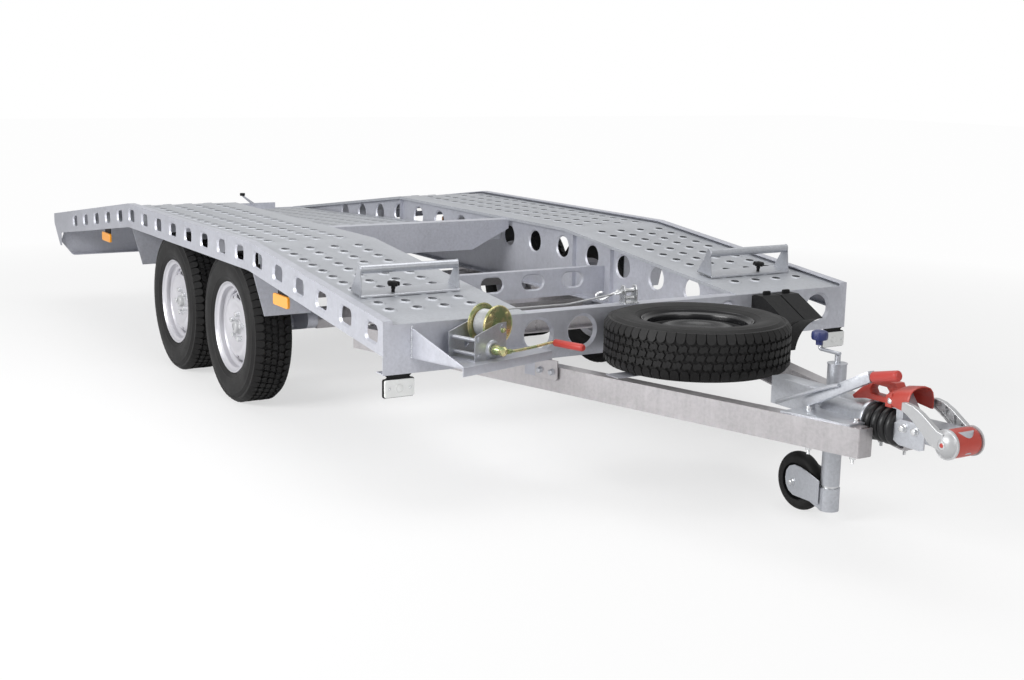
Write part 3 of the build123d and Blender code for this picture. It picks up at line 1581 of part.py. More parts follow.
with BuildPart() as lamp_brackets:
    with BuildSketch(Plane.YZ.offset(front_x - lamp_size[2] / 2 - sheet)):
        with Locations((-lamp_y, beam_bottom)):
            Rectangle(lamp_size[0] * 0.7, beam_bottom - lamp_height, align=(Align.CENTER, Align.MAX))
    extrude(amount=sheet)
    for x in side_lamp_places:
        half = side_lamp_size[0] / 3
        bracket_end = deck_top(x) - rail_depth - side_lamp_hang - side_lamp_size[1] / 2
        with BuildSketch(rail_plane(-side_lamp_y)):
            with BuildLine():
                Polyline(
                    (x - half, deck_top(x - half) - rail_depth),
                    (x + half, deck_top(x + half) - rail_depth),
                    (x + half, bracket_end),
                    (x - half, bracket_end),
                    close=True,
                )
            make_face()
        extrude(amount=sheet)
    mirror(about=Plane.XZ)
keep(lamp_brackets.part, "lamp_brackets")

print("front_x", front_x, "hump_height", hump_height, "rear_knee", rear_knee)
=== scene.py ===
import json
from math import copysign, cos, pi, radians, sin

import bpy
from mathutils import Matrix, Vector

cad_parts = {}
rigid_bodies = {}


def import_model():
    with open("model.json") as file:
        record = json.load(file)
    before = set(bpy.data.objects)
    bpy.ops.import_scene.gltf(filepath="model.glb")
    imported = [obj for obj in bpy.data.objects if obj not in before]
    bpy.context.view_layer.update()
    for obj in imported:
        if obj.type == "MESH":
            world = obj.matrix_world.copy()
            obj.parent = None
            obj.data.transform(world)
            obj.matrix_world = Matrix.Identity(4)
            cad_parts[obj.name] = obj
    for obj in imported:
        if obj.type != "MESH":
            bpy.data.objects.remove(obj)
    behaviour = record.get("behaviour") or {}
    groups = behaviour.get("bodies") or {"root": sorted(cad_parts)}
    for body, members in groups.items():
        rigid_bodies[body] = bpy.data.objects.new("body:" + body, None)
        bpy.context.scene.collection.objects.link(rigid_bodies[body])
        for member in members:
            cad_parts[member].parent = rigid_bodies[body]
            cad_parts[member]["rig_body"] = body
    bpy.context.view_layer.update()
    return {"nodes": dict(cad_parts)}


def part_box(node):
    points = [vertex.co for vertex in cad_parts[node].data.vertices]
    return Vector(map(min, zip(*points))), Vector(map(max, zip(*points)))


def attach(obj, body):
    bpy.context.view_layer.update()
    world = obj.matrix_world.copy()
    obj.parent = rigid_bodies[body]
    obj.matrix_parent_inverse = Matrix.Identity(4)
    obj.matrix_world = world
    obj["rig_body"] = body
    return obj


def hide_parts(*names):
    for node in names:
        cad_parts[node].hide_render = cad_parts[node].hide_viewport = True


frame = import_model()
nodes = frame["nodes"]

# Places shared with the part, in metres
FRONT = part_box("front_beam")[1].x
FRONT_KNEE = 1.25
REAR_KNEE = 2.94
RAIL_TOP = 0.607
HUMP_TOP = 0.737
DECK_DROP = 0.014
FRONT_TILT = 0.104
REAR_TILT = 0.1275
WHEEL = 0.326
WHEEL_X = [FRONT - 1.57, FRONT - 2.321]
WHEEL_Y = 0.94
BAR_ANGLE = radians(16)
BAR_SLOPE = 0.28675
JOCKEY_Y = 0.13
SEAM = 0.00002
ALONG = Vector((cos(BAR_ANGLE), sin(BAR_ANGLE), 0))
ACROSS = Vector((-sin(BAR_ANGLE), cos(BAR_ANGLE), 0))
UP = Vector((0, 0, 1))


def deck_height(back):
    """Height of the side rail's top edge at a distance behind the front beam."""
    if back < FRONT_KNEE:
        return RAIL_TOP + 0.13 * back / FRONT_KNEE
    if back < REAR_KNEE:
        return HUMP_TOP
    return HUMP_TOP - 0.2 * (back - REAR_KNEE) / 1.56


def winch_place(forward, across, height):
    """Point given along the right drawbar beam, across it and up."""
    return Vector((FRONT, 0, height)) + ALONG * forward + ACROSS * across


# Shaping helpers


def add(operator, name, **settings):
    """Add a primitive with nothing else selected."""
    bpy.ops.object.select_all(action="DESELECT")
    operator(**settings)
    piece = bpy.context.object
    piece.name = name
    return piece


def activate(*pieces):
    bpy.ops.object.select_all(action="DESELECT")
    for piece in pieces:
        piece.select_set(True)
    bpy.context.view_layer.objects.active = pieces[0]


def pick(piece, kind, test):
    """Open the piece in edit mode with only what passes the test selected."""
    activate(piece)
    bpy.ops.object.mode_set(mode="EDIT")
    bpy.ops.mesh.select_mode(type=kind)
    bpy.ops.mesh.select_all(action="DESELECT")
    bpy.ops.object.mode_set(mode="OBJECT")
    mesh = piece.data
    for item in {"FACE": mesh.polygons, "EDGE": mesh.edges, "VERT": mesh.vertices}[kind]:
        item.select = bool(test(item))
    bpy.ops.object.mode_set(mode="EDIT")


def close_edit():
    bpy.ops.object.mode_set(mode="OBJECT")


def freeze(piece):
    """Put the piece's place into its mesh."""
    activate(piece)
    bpy.ops.object.transform_apply(location=True, rotation=True, scale=True)
    return piece


def place(piece, matrix):
    piece.matrix_world = matrix
    bpy.context.view_layer.update()
    return freeze(piece)


def turn_to(direction, spot):
    """Matrix that stands a piece's Z along a direction at a spot."""
    return Matrix.Translation(spot) @ Vector(direction).to_track_quat("Z", "Y").to_matrix().to_4x4()


def upright(x, y, z=0):
    """Matrix that stands a flat plate on its edge, its thickness towards -Y."""
    return Matrix(((1, 0, 0, x), (0, 0, -1, y), (0, 1, 0, z), (0, 0, 0, 1)))


def extrude(shift):
    """Extrude what is selected in edit mode."""
    bpy.ops.mesh.extrude_region_move(TRANSFORM_OT_translate={"value": shift})


def finish_mesh(piece, angle=30):
    """Merge doubles, point the faces outwards and shade."""
    activate(piece)
    bpy.ops.object.mode_set(mode="EDIT")
    bpy.ops.mesh.select_all(action="SELECT")
    bpy.ops.mesh.remove_doubles(threshold=SEAM)
    bpy.ops.mesh.normals_make_consistent(inside=False)
    bpy.ops.object.mode_set(mode="OBJECT")
    bpy.ops.object.shade_smooth_by_angle(angle=radians(angle))
    return piece


def apply(piece, modifier):
    activate(piece)
    bpy.ops.object.modifier_apply(modifier=modifier.name)


def soften(piece, width, segments=2, angle=32):
    modifier = piece.modifiers.new("edges", "BEVEL")
    modifier.width = width
    modifier.segments = segments
    modifier.limit_method = "ANGLE"
    modifier.angle_limit = radians(angle)
    modifier.use_clamp_overlap = True
    apply(piece, modifier)


def thicken(piece, wall):
    modifier = piece.modifiers.new("wall", "SOLIDIFY")
    modifier.thickness = wall
    modifier.offset = -1
    apply(piece, modifier)


def subtract(piece, cutter):
    """Cut one piece's form out of another and remove the cutter."""
    modifier = piece.modifiers.new("cut", "BOOLEAN")
    modifier.operation = "DIFFERENCE"
    modifier.solver = "EXACT"
    modifier.object = cutter
    apply(piece, modifier)
    bpy.data.objects.remove(cutter)


def linked(piece):
    bpy.context.scene.collection.objects.link(piece)
    return piece


def twin_of(piece):
    """A copy with its own mesh."""
    twin = piece.copy()
    twin.data = piece.data.copy()
    return linked(twin)


def copies(piece, matrices, name):
    """One object from a finished piece at each of the places, each copy with its own mesh."""
    made = []
    for matrix in matrices:
        twin = twin_of(piece)
        twin.matrix_world = matrix @ piece.matrix_world
        made.append(twin)
    bpy.context.view_layer.update()
    row = joined(name, made)
    bpy.data.objects.remove(piece)
    return row


def joined(name, pieces):
    activate(*pieces)
    if len(pieces) > 1:
        bpy.ops.object.join()
    piece = bpy.context.object
    piece.name = name
    return freeze(piece)


def ring(name, count, fill="NOTHING"):
    """A ring of vertices, whose places are then set one by one."""
    return add(bpy.ops.mesh.primitive_circle_add, name, vertices=count, radius=1, fill_type=fill)


def open_ring(piece, count):
    """Remove the edge between the last vertex and the first."""
    pick(piece, "EDGE", lambda edge: set(edge.vertices) == {0, count - 1})
    bpy.ops.mesh.delete(type="EDGE_FACE")
    close_edit()


def turned(name, outline, steps=48, closed=False):
    """Turn an outline of (radius, height) points round Z."""
    piece = ring(name, len(outline))
    for vertex, (radius, height) in zip(piece.data.vertices, outline):
        vertex.co = (radius, 0, height)
    if not closed:
        open_ring(piece, len(outline))
    pick(piece, "VERT", lambda vertex: True)
    bpy.ops.mesh.spin(steps=steps, angle=2 * pi, center=(0, 0, 0), axis=(0, 0, 1))
    close_edit()
    return finish_mesh(piece)


def plate(name, outline, thickness, edge=0.0):
    """A flat plate from (x, y) points, thickness up from Z = 0, its edges rounded if asked."""
    piece = ring(name, len(outline), "NGON")
    for vertex, (x, y) in zip(piece.data.vertices, outline):
        vertex.co = (x, y, 0)
    pick(piece, "FACE", lambda face: True)
    extrude((0, 0, thickness))
    close_edit()
    finish_mesh(piece, angle=25)
    if edge:
        soften(piece, edge)
    return piece


def block(name, size, spot=(0, 0, 0), turn=0.0):
    """A box of the given size about a spot, turned round Z."""
    piece = add(bpy.ops.mesh.primitive_cube_add, name, size=1)
    piece.scale = size
    piece.rotation_euler.z = turn
    piece.location = spot
    return freeze(piece)


def rounded(width, height, radius, steps=5):
    points = []
    for turn_count, (sx, sy) in enumerate(((1, 1), (-1, 1), (-1, -1), (1, -1))):
        for step in range(steps):
            angle = turn_count * pi / 2 + step * pi / 2 / (steps - 1)
            x = sx * (width / 2 - radius) + radius * cos(angle)
            y = sy * (height / 2 - radius) + radius * sin(angle)
            points.append((x, y))
    return points


facing = Matrix(((0, 0, 1), (1, 0, 0), (0, 1, 0))).to_4x4()


def curve(name, points, radius, bevel_steps, resolution):
    """A round curve along points: each is a corner rounded by a spline."""
    data = bpy.data.curves.new(name, "CURVE")
    data.dimensions = "3D"
    data.bevel_depth = radius
    data.bevel_resolution = bevel_steps
    data.resolution_u = resolution
    data.use_fill_caps = True
    spline = data.splines.new("NURBS")
    spline.points.add(len(points) - 1)
    for point, spot in zip(spline.points, points):
        point.co = (*spot, 1)
    spline.order_u = 3
    spline.use_endpoint_u = True
    spline.resolution_u = resolution
    return linked(bpy.data.objects.new(name, data))


def rod(name, points, radius, sides=10):
    """A bar along points as a mesh."""
    activate(curve(name, points, radius, max(1, sides // 4), 8))
    bpy.ops.object.convert(target="MESH")
    piece = bpy.context.object
    bpy.ops.object.shade_smooth_by_angle(angle=radians(50))
    return piece


def wear(piece, body, material, stands_for=()):
    """Give a piece its body and material, and hide the nodes it stands for."""
    piece.data.materials.clear()
    piece.data.materials.append(material)
    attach(piece, body)
    for node in stands_for:
        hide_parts(node)
    return piece


def galvanised(piece, material):
    """Wear for a galvanised piece of the chassis."""
    return wear(piece, "chassis", material)


def cut_off(piece, spot, normal):
    """Remove what lies beyond a plane and close the cut."""
    pick(piece, "FACE", lambda face: True)
    bpy.ops.mesh.bisect(plane_co=spot, plane_no=normal, clear_outer=True, use_fill=True)
    close_edit()


def reworked(node, name, material, bevel=0.0, angle=30, cuts=()):
    """A copy of a CAD node with its seams merged and its edges softened, to stand for it."""
    source = nodes[node]
    piece = linked(bpy.data.objects.new(name, source.data.copy()))
    activate(piece)
    bpy.ops.object.mode_set(mode="EDIT")
    bpy.ops.mesh.select_all(action="SELECT")
    bpy.ops.mesh.remove_doubles(threshold=SEAM)
    bpy.ops.mesh.customdata_custom_splitnormals_clear()
    bpy.ops.mesh.dissolve_limited(angle_limit=radians(0.5))
    bpy.ops.object.mode_set(mode="OBJECT")
    for spot, normal in cuts:
        cut_off(piece, spot, normal)
    if bevel:
        soften(piece, bevel)
    bpy.ops.object.shade_smooth_by_angle(angle=radians(angle))
    wear(piece, source["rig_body"], material, [node])
    return piece


# Shader groups


def new_group(name, inputs, outputs):
    """A shader group of number sockets, with its entry and its way out."""
    group = bpy.data.node_groups.new(name, "ShaderNodeTree")
    for label, value in inputs:
        group.interface.new_socket(label, in_out="INPUT", socket_type="NodeSocketFloat").default_value = value
    for label in outputs:
        group.interface.new_socket(label, in_out="OUTPUT", socket_type="NodeSocketFloat")
    entry = group.nodes.new("NodeGroupInput")
    leave = group.nodes.new("NodeGroupOutput")
    return group, entry, leave


def link(tree, start, end):
    tree.links.new(start, end)


def give(node, **values):
    """Set a node's inputs by name, an underscore for each space."""
    for label, value in values.items():
        node.inputs[label.replace("_", " ")].default_value = value


def math_node(tree, operation, first, second=None, clamp=False, third=None):
    node = tree.nodes.new("ShaderNodeMath")
    node.operation = operation
    node.use_clamp = clamp
    for socket, value in zip(node.inputs, (first, second, third)):
        if value is None:
            continue
        if isinstance(value, (int, float)):
            socket.default_value = value
        else:
            link(tree, value, socket)
    return node.outputs[0]


def swing(tree, value, amount):
    """A value about one half, moved to about zero and scaled."""
    return math_node(tree, "MULTIPLY", math_node(tree, "SUBTRACT", value, 0.5), amount)


def noise_node(tree, vector, scale, detail=3, roughness=0.6):
    node = tree.nodes.new("ShaderNodeTexNoise")
    give(node, Detail=detail, Roughness=roughness)
    if isinstance(scale, (int, float)):
        node.inputs["Scale"].default_value = scale
    else:
        link(tree, scale, node.inputs["Scale"])
    link(tree, vector, node.inputs["Vector"])
    return node


def object_place(tree):
    return tree.nodes.new("ShaderNodeTexCoord").outputs["Object"]


def remap(tree, value, low, high, new_low, new_high):
    node = tree.nodes.new("ShaderNodeMapRange")
    link(tree, value, node.inputs["Value"])
    give(node, From_Min=low, From_Max=high, To_Min=new_low, To_Max=new_high)
    return node.outputs["Result"]


def zinc_group():
    """Hot-dip zinc: crystal spangle, cloudy patches and drip streaks, as a tone about 1 and a height."""
    group, entry, leave = new_group(
        "zinc crystals",
        [
            ("Crystal Scale", 90.0),
            ("Crystal Amount", 0.08),
            ("Cloud Amount", 0.12),
            ("Streak Amount", 0.05),
        ],
        ["Tone", "Height"],
    )
    spot = object_place(group)
    warp = noise_node(group, spot, 30, 2)
    mix = group.nodes.new("ShaderNodeVectorMath")
    mix.operation = "MULTIPLY_ADD"
    link(group, warp.outputs["Color"], mix.inputs[0])
    mix.inputs[1].default_value = (0.02, 0.02, 0.02)
    link(group, spot, mix.inputs[2])
    cells = group.nodes.new("ShaderNodeTexVoronoi")
    link(group, mix.outputs[0], cells.inputs["Vector"])
    link(group, entry.outputs["Crystal Scale"], cells.inputs["Scale"])
    grey = group.nodes.new("ShaderNodeRGBToBW")
    link(group, cells.outputs["Color"], grey.inputs[0])
    crystal = swing(group, grey.outputs[0], entry.outputs["Crystal Amount"])
    cloud = noise_node(group, spot, 5, 4, 0.65)
    cloud = swing(group, cloud.outputs["Fac"], entry.outputs["Cloud Amount"])
    stretch = group.nodes.new("ShaderNodeMapping")
    stretch.inputs["Scale"].default_value = (60, 60, 3)
    link(group, spot, stretch.inputs["Vector"])
    streak = noise_node(group, stretch.outputs[0], 1, 2)
    streak = swing(group, streak.outputs["Fac"], entry.outputs["Streak Amount"])
    total = math_node(
        group, "ADD", math_node(group, "MULTIPLY", crystal, 2), math_node(group, "MULTIPLY", cloud, 2)
    )
    total = math_node(group, "ADD", total, math_node(group, "MULTIPLY", streak, 2))
    link(group, math_node(group, "ADD", total, 1.0), leave.inputs["Tone"])
    link(group, math_node(group, "ADD", crystal, cloud), leave.inputs["Height"])
    return group


def wear_group():
    """Rubbed edges: where the surface is convex, broken up by a fine noise."""
    group, entry, leave = new_group(
        "edge wear",
        [("Strength", 0.5), ("Breakup Scale", 120.0)],
        ["Mask"],
    )
    shape = group.nodes.new("ShaderNodeNewGeometry")
    spot = object_place(group)
    edge = remap(group, shape.outputs["Pointiness"], 0.51, 0.6, 0.0, 1.0)
    broken = noise_node(group, spot, entry.outputs["Breakup Scale"], 3)
    broken = remap(group, broken.outputs["Fac"], 0.35, 0.65, 0.2, 1.0)
    mask = math_node(
        group, "MULTIPLY", math_node(group, "MULTIPLY", edge, broken), entry.outputs["Strength"], True
    )
    link(group, mask, leave.inputs["Mask"])
    return group


def grain_group():
    """Fine grain: a height for bump and a gentle change of tone."""
    group, entry, leave = new_group(
        "fine grain",
        [("Grain Scale", 400.0), ("Tone Amount", 0.1)],
        ["Tone", "Height"],
    )
    spot = object_place(group)
    fine = noise_node(group, spot, entry.outputs["Grain Scale"], 4)
    broad = noise_node(group, spot, 14, 3)
    drift = swing(group, broad.outputs["Fac"], entry.outputs["Tone Amount"])
    link(group, math_node(group, "MULTIPLY_ADD", drift, 2, False, 1.0), leave.inputs["Tone"])
    link(group, fine.outputs["Fac"], leave.inputs["Height"])
    return group


def dust_group():
    """Road dust that settles low down and in patches."""
    group, entry, leave = new_group(
        "road dust",
        [("Top", 0.4), ("Strength", 0.3)],
        ["Mask"],
    )
    spot = object_place(group)
    split = group.nodes.new("ShaderNodeSeparateXYZ")
    link(group, spot, split.inputs[0])
    low = math_node(
        group, "SUBTRACT", 1.0, math_node(group, "DIVIDE", split.outputs["Z"], entry.outputs["Top"]), True
    )
    patch = noise_node(group, spot, 22, 4)
    patch = remap(group, patch.outputs["Fac"], 0.4, 0.7, 0.0, 1.0)
    mask = math_node(
        group, "MULTIPLY", math_node(group, "MULTIPLY", low, patch), entry.outputs["Strength"], True
    )
    link(group, mask, leave.inputs["Mask"])
    return group


ZINC = zinc_group()
EDGE_WEAR = wear_group()
GRAIN = grain_group()
DUST = dust_group()


def use_group(tree, group, **values):
    node = tree.nodes.new("ShaderNodeGroup")
    node.node_tree = group
    give(node, **values)
    return node


def toned(tree, color, tone):
    """A colour times a tone."""
    node = tree.nodes.new("ShaderNodeVectorMath")
    node.operation = "SCALE"
    node.inputs[0].default_value = color
    link(tree, tone, node.inputs["Scale"])
    return node.outputs[0]


def mixed(tree, mask, first, second):
    node = tree.nodes.new("ShaderNodeMix")
    node.data_type = "RGBA"
    link(tree, mask, node.inputs["Factor"])
    for socket, value in ((node.inputs[6], first), (node.inputs[7], second)):
        if isinstance(value, tuple):
            socket.default_value = (*value, 1)
        else:
            link(tree, value, socket)
    return node.outputs[2]


def bumped(tree, shader, height, strength, distance):
    node = tree.nodes.new("ShaderNodeBump")
    give(node, Strength=strength, Distance=distance)
    link(tree, height, node.inputs["Height"])
    link(tree, node.outputs[0], shader.inputs["Normal"])


def new_material(name):
    material = bpy.data.materials.new(name)
    material.use_nodes = True
    return material, material.node_tree, material.node_tree.nodes["Principled BSDF"]


def zinc_material(
    name, color, metallic, roughness, crystals=0.06, clouds=0.14, streaks=0.05, scale=70, worn=0.35
):
    material, tree, shader = new_material(name)
    zinc = use_group(
        tree, ZINC, Crystal_Scale=scale, Crystal_Amount=crystals, Cloud_Amount=clouds, Streak_Amount=streaks
    )
    edges = use_group(tree, EDGE_WEAR, Strength=worn, Breakup_Scale=90.0)
    bright = tuple(min(1.0, part * 1.45) for part in color)
    link(
        tree, mixed(tree, edges.outputs[0], toned(tree, color, zinc.outputs["Tone"]), bright),
        shader.inputs["Base Color"]
    )
    give(shader, Metallic=metallic)
    rough = math_node(tree, "MULTIPLY", zinc.outputs["Tone"], roughness, True)
    link(tree, rough, shader.inputs["Roughness"])
    bumped(tree, shader, zinc.outputs["Height"], 0.25, 0.0012)
    return material


def plain_material(
    name, color, roughness, metallic=0.0, grain=500.0, tone=0.08, bump=0.12, depth=0.0004, worn=0.0, dust=0.0,
    coat=0.0, specular=0.5
):
    material, tree, shader = new_material(name)
    fine = use_group(tree, GRAIN, Grain_Scale=grain, Tone_Amount=tone)
    base = toned(tree, color, fine.outputs["Tone"])
    if worn:
        edges = use_group(tree, EDGE_WEAR, Strength=worn, Breakup_Scale=150.0)
        base = mixed(tree, edges.outputs[0], base, tuple(min(1.0, 0.12 + part * 1.3) for part in color))
    if dust:
        settled = use_group(tree, DUST, Strength=dust)
        base = mixed(tree, settled.outputs[0], base, (0.22, 0.2, 0.18))
    link(tree, base, shader.inputs["Base Color"])
    link(tree, math_node(tree, "MULTIPLY", fine.outputs["Tone"], roughness, True), shader.inputs["Roughness"])
    give(shader, Metallic=metallic, Coat_Weight=coat, Specular_IOR_Level=specular)
    bumped(tree, shader, fine.outputs["Height"], bump, depth)
    return material


# Zinc, after the colour: metallic, roughness, crystals, clouds, streaks, crystal scale
# Plain, after the colour: roughness, metallic, grain scale, tone, bump, bump depth in metres
deck_zinc = zinc_material("galvanised deck sheet", (0.425, 0.44, 0.47), 0.35, 0.42, 0.05, 0.12, 0.02)
rail_zinc = zinc_material("galvanised folded sheet", (0.5, 0.51, 0.56), 0.5, 0.43, 0.05, 0.14, 0.05)
bar_zinc = zinc_material("galvanised drawbar steel", (0.42, 0.405, 0.415), 0.7, 0.32, 0.05, 0.3, 0.16, 30)
bracket_zinc = zinc_material(
    "galvanised small fittings", (0.47, 0.485, 0.52), 0.62, 0.33, 0.08, 0.15, 0.03, 160
)
bolt_zinc = zinc_material("bright zinc bolts", (0.66, 0.67, 0.68), 0.8, 0.28, 0.04, 0.08, 0.0, 300)


def passivated_material():
    """Yellow zinc plating that drifts to green and straw in broad clouds."""
    material, tree, shader = new_material("yellow passivated zinc")
    fine = use_group(tree, GRAIN, Grain_Scale=300.0, Tone_Amount=0.3)
    spot = object_place(tree)
    clouds = noise_node(tree, spot, 26, 2)
    share = remap(tree, clouds.outputs["Fac"], 0.42, 0.6, 0.0, 1.0)
    tint = mixed(tree, share, (0.66, 0.57, 0.3), (0.34, 0.41, 0.2))
    link(tree, tint, shader.inputs["Base Color"])
    shader.inputs["Metallic"].default_value = 0.75
    link(tree, math_node(tree, "MULTIPLY", fine.outputs["Tone"], 0.27, True), shader.inputs["Roughness"])
    bumped(tree, shader, fine.outputs["Height"], 0.1, 0.0003)
    return material


yellow_zinc = passivated_material()
# Hole walls: painted shade in two copies, dark for the far runway and lighter for the near runway and the
# platform
hole_shade = plain_material(
    "shaded hole wall", (0.07, 0.072, 0.078), 0.8, 0.0, 400.0, 0.2, 0.1, 0.0002, specular=0.1
)
hole_lit = plain_material(
    "lit hole wall", (0.2, 0.205, 0.22), 0.7, 0.3, 400.0, 0.2, 0.1, 0.0002, specular=0.2
)
rope_steel = zinc_material("stranded wire rope", (0.5, 0.51, 0.52), 0.6, 0.45, 0.2, 0.1, 0.0, 900)
wheel_silver = plain_material(
    "silver wheel paint", (0.56, 0.555, 0.59), 0.36, 0.4, 900.0, 0.05, 0.05, 0.0002, worn=0.2, dust=0.06,
    coat=0.2
)
casting_silver = plain_material(
    "satin silver casting", (0.46, 0.465, 0.475), 0.42, 0.45, 700.0, 0.08, 0.12, 0.0003, worn=0.3
)
rubber = plain_material(
    "tyre rubber", (0.0105, 0.0102, 0.0104), 0.55, 0.0, 800.0, 0.25, 0.25, 0.0005, worn=0.04, dust=0.03,
    specular=0.22
)
soft_rubber = plain_material(
    "moulded rubber", (0.012, 0.012, 0.013), 0.38, 0.0, 900.0, 0.15, 0.15, 0.0003, specular=0.35
)
black_plastic = plain_material(
    "black moulded plastic", (0.0075, 0.0075, 0.008), 0.55, 0.0, 1200.0, 0.15, 0.3, 0.0004, worn=0.08,
    specular=0.16
)
black_paint = plain_material(
    "black wheel paint", (0.007, 0.007, 0.008), 0.22, 0.0, 600.0, 0.1, 0.04, 0.0002, worn=0.03, specular=0.4
)
red_plastic = plain_material(
    "red moulded plastic", (0.44, 0.052, 0.036), 0.4, 0.0, 700.0, 0.14, 0.12, 0.0003, worn=0.18
)
red_grip = plain_material("red grip", (0.46, 0.045, 0.036), 0.38, 0.0, 600.0, 0.1, 0.1, 0.0003, worn=0.1)
blue_plastic = plain_material(
    "blue knob plastic", (0.018, 0.028, 0.12), 0.4, 0.0, 700.0, 0.12, 0.1, 0.0003, worn=0.2
)
white_lens = plain_material(
    "white lamp lens", (0.8, 0.81, 0.8), 0.22, 0.0, 300.0, 0.03, 0.03, 0.0002, coat=0.5
)
amber_lens = plain_material(
    "amber lamp lens", (0.93, 0.36, 0.012), 0.3, 0.0, 300.0, 0.06, 0.05, 0.0002, coat=0.5
)
red_lens = plain_material(
    "red lamp lens", (0.42, 0.015, 0.015), 0.2, 0.0, 300.0, 0.06, 0.05, 0.0002, coat=0.5
)

# Carried-over nodes: one material for each, folded zinc sheet for those not named

finish_groups = (
    (bar_zinc, ("drawbar_left", "drawbar_right", "drawbar_cross")),
    (bracket_zinc, ("overrun_housing", "jockey_tube", "jockey_fork", "jockey_clamp", "jockey_crank")),
    (bracket_zinc, ("coupling_head", "handbrake_lever", "winch_frame")),
    (bolt_zinc, ("jockey_leg",)),
    (casting_silver, ("coupling_arms", "friction_pads")),
    (yellow_zinc, ("winch_drum", "winch_crank")),
    (rope_steel, ("winch_rope",)),
    (rubber, ("jockey_tyre",)),
    (soft_rubber, ("bellows",)),
    (red_plastic, ("coupling_handle", "nose_buffer")),
    (red_grip, ("handbrake_grip", "winch_grip")),
    (black_plastic, ("jockey_rim", "wheel_chocks", "chock_holder", "lamp_brackets")),
    (black_paint, ("spare_rim",)),
    (white_lens, ("front_lamps",)),
    (amber_lens, ("side_lamps",)),
    (red_lens, ("tail_lamps",)),
    (deck_zinc, ("centre_platform",)),
)
finishes = {name: material for material, names in finish_groups for name in names}
for name in nodes:
    if name.startswith("rim_"):
        finishes[name] = wheel_silver
    if name.startswith("tyre_") or name == "spare_tyre":
        finishes[name] = rubber
    if name.startswith("runway_"):
        finishes[name] = deck_zinc
for name, node in nodes.items():
    node.data.materials.clear()
    node.data.materials.append(finishes.get(name, rail_zinc))

# Tyres

PITCHES = 60
CROWN = 0.3185
# Radius and half width, from the rim out to the middle of the crown
tyre_wall = [
    (0.181, 0.06), (0.1965, 0.0665), (0.199, 0.073), (0.205, 0.0785), (0.213, 0.083),
    (0.218, 0.085), (0.22, 0.0868), (0.223, 0.0868), (0.226, 0.0872), (0.242, 0.0912),
    (0.26, 0.0925), (0.276, 0.0908), (0.286, 0.088), (0.2885, 0.0885), (0.291, 0.0868),
    (0.299, 0.0825), (0.306, 0.077), (0.312, 0.071), (0.3165, 0.065), (CROWN, 0.058),
    (CROWN + 0.001, 0.025),
]
# Tread blocks of one pitch: corners as share of the pitch and metres across
shoulder_block = [
    (-0.45, 0.08), (-0.45, 0.062), (-0.4, 0.053), (-0.24, 0.047), (0.0, 0.0448), (0.24, 0.047), (0.4, 0.053),
    (0.45, 0.062), (0.45, 0.08)
]
middle_block = [
    (-0.47, 0.0225), (-0.26, 0.0405), (-0.02, 0.0365), (0.22, 0.0425), (0.47, 0.0335), (0.4, 0.018),
    (0.12, 0.0205), (-0.14, 0.015)
]
centre_block = [
    (-0.47, -0.004), (-0.25, 0.012), (0.0, 0.0085), (0.25, 0.0135), (0.47, 0.004), (0.25, -0.012),
    (0.0, -0.0085), (-0.25, -0.0135)
]


def tread_block(outline, shift, flip):
    pitch = 2 * pi * WHEEL / PITCHES
    piece = ring("block", len(outline), "NGON")
    for vertex, (share, across) in zip(piece.data.vertices, outline):
        drop = 0.013 if across > 0.07 else 0.0
        vertex.co = ((share * flip + shift) * pitch, across * flip, WHEEL - drop)
    pick(piece, "FACE", lambda face: True)
    extrude((0, 0, -0.01))
    bpy.ops.transform.resize(value=(1.06, 1.04, 1))
    close_edit()
    return piece


def make_tyre():
    """One tyre at the origin, its axle along Y."""
    outline = tyre_wall + [(radius, -side) for radius, side in reversed(tyre_wall)]
    carcass = turned("carcass", outline, steps=96, closed=True)
    place(carcass, Matrix.Rotation(pi / 2, 4, "X"))
    blocks = [
        tread_block(shoulder_block, 0.0, 1),
        tread_block(shoulder_block, 0.5, -1),
        tread_block(middle_block, 0.25, 1),
        tread_block(middle_block, -0.25, -1),
        tread_block(centre_block, 0.0, 1),
    ]
    tread = joined("tread", blocks)
    pick(tread, "VERT", lambda vertex: True)
    bpy.ops.mesh.normals_make_consistent(inside=False)
    bpy.ops.mesh.spin(
        steps=PITCHES - 1, dupli=True, angle=2 * pi * (PITCHES - 1) / PITCHES, center=(0, 0, 0),
        axis=(0, 1, 0)
    )
    close_edit()
    tyre = joined("tyre", [carcass, tread])
    bpy.ops.object.shade_smooth_by_angle(angle=radians(35))
    return tyre


pattern_tyre = make_tyre()


def lay(pattern, name, matrix, body, material, node):
    """Put a twin of a finished pattern in a node's place."""
    piece = twin_of(pattern)
    piece.name = name
    place(piece, matrix)
    wear(piece, body, material, [node])


WHEELS = [
    (f"{end}_{hand}", side, x)
    for end, x in zip(("front", "rear"), WHEEL_X)
    for hand, side in (("right", -1), ("left", 1))
]


for wheel, side, x in WHEELS:
    spot = Matrix.Translation((x, side * WHEEL_Y, WHEEL)) @ Matrix.Rotation(0.3 * side + x, 4, "Y")
    lay(pattern_tyre, f"tread_tyre_{wheel}", spot, f"wheel_{wheel}", rubber, f"tyre_{wheel}")
low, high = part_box("spare_tyre")
spare_centre = (low + high) / 2
spare_stand = Matrix.Translation(spare_centre) @ Matrix.Rotation(pi / 2, 4, "X")
lay(pattern_tyre, "tread_tyre_spare", spare_stand, "chassis", rubber, "spare_tyre")
bpy.data.objects.remove(pattern_tyre)

# Perforated sheets

HOLE = 0.0175
FOLD_Y = 0.482
FOLD_DEPTH = 0.042
FOLD_SHOWN = 0.014
COLLAR_FOOT = 0.028
COLLAR_TOP = 0.0045
SHEET = 0.004
LIP_SIDES = 14


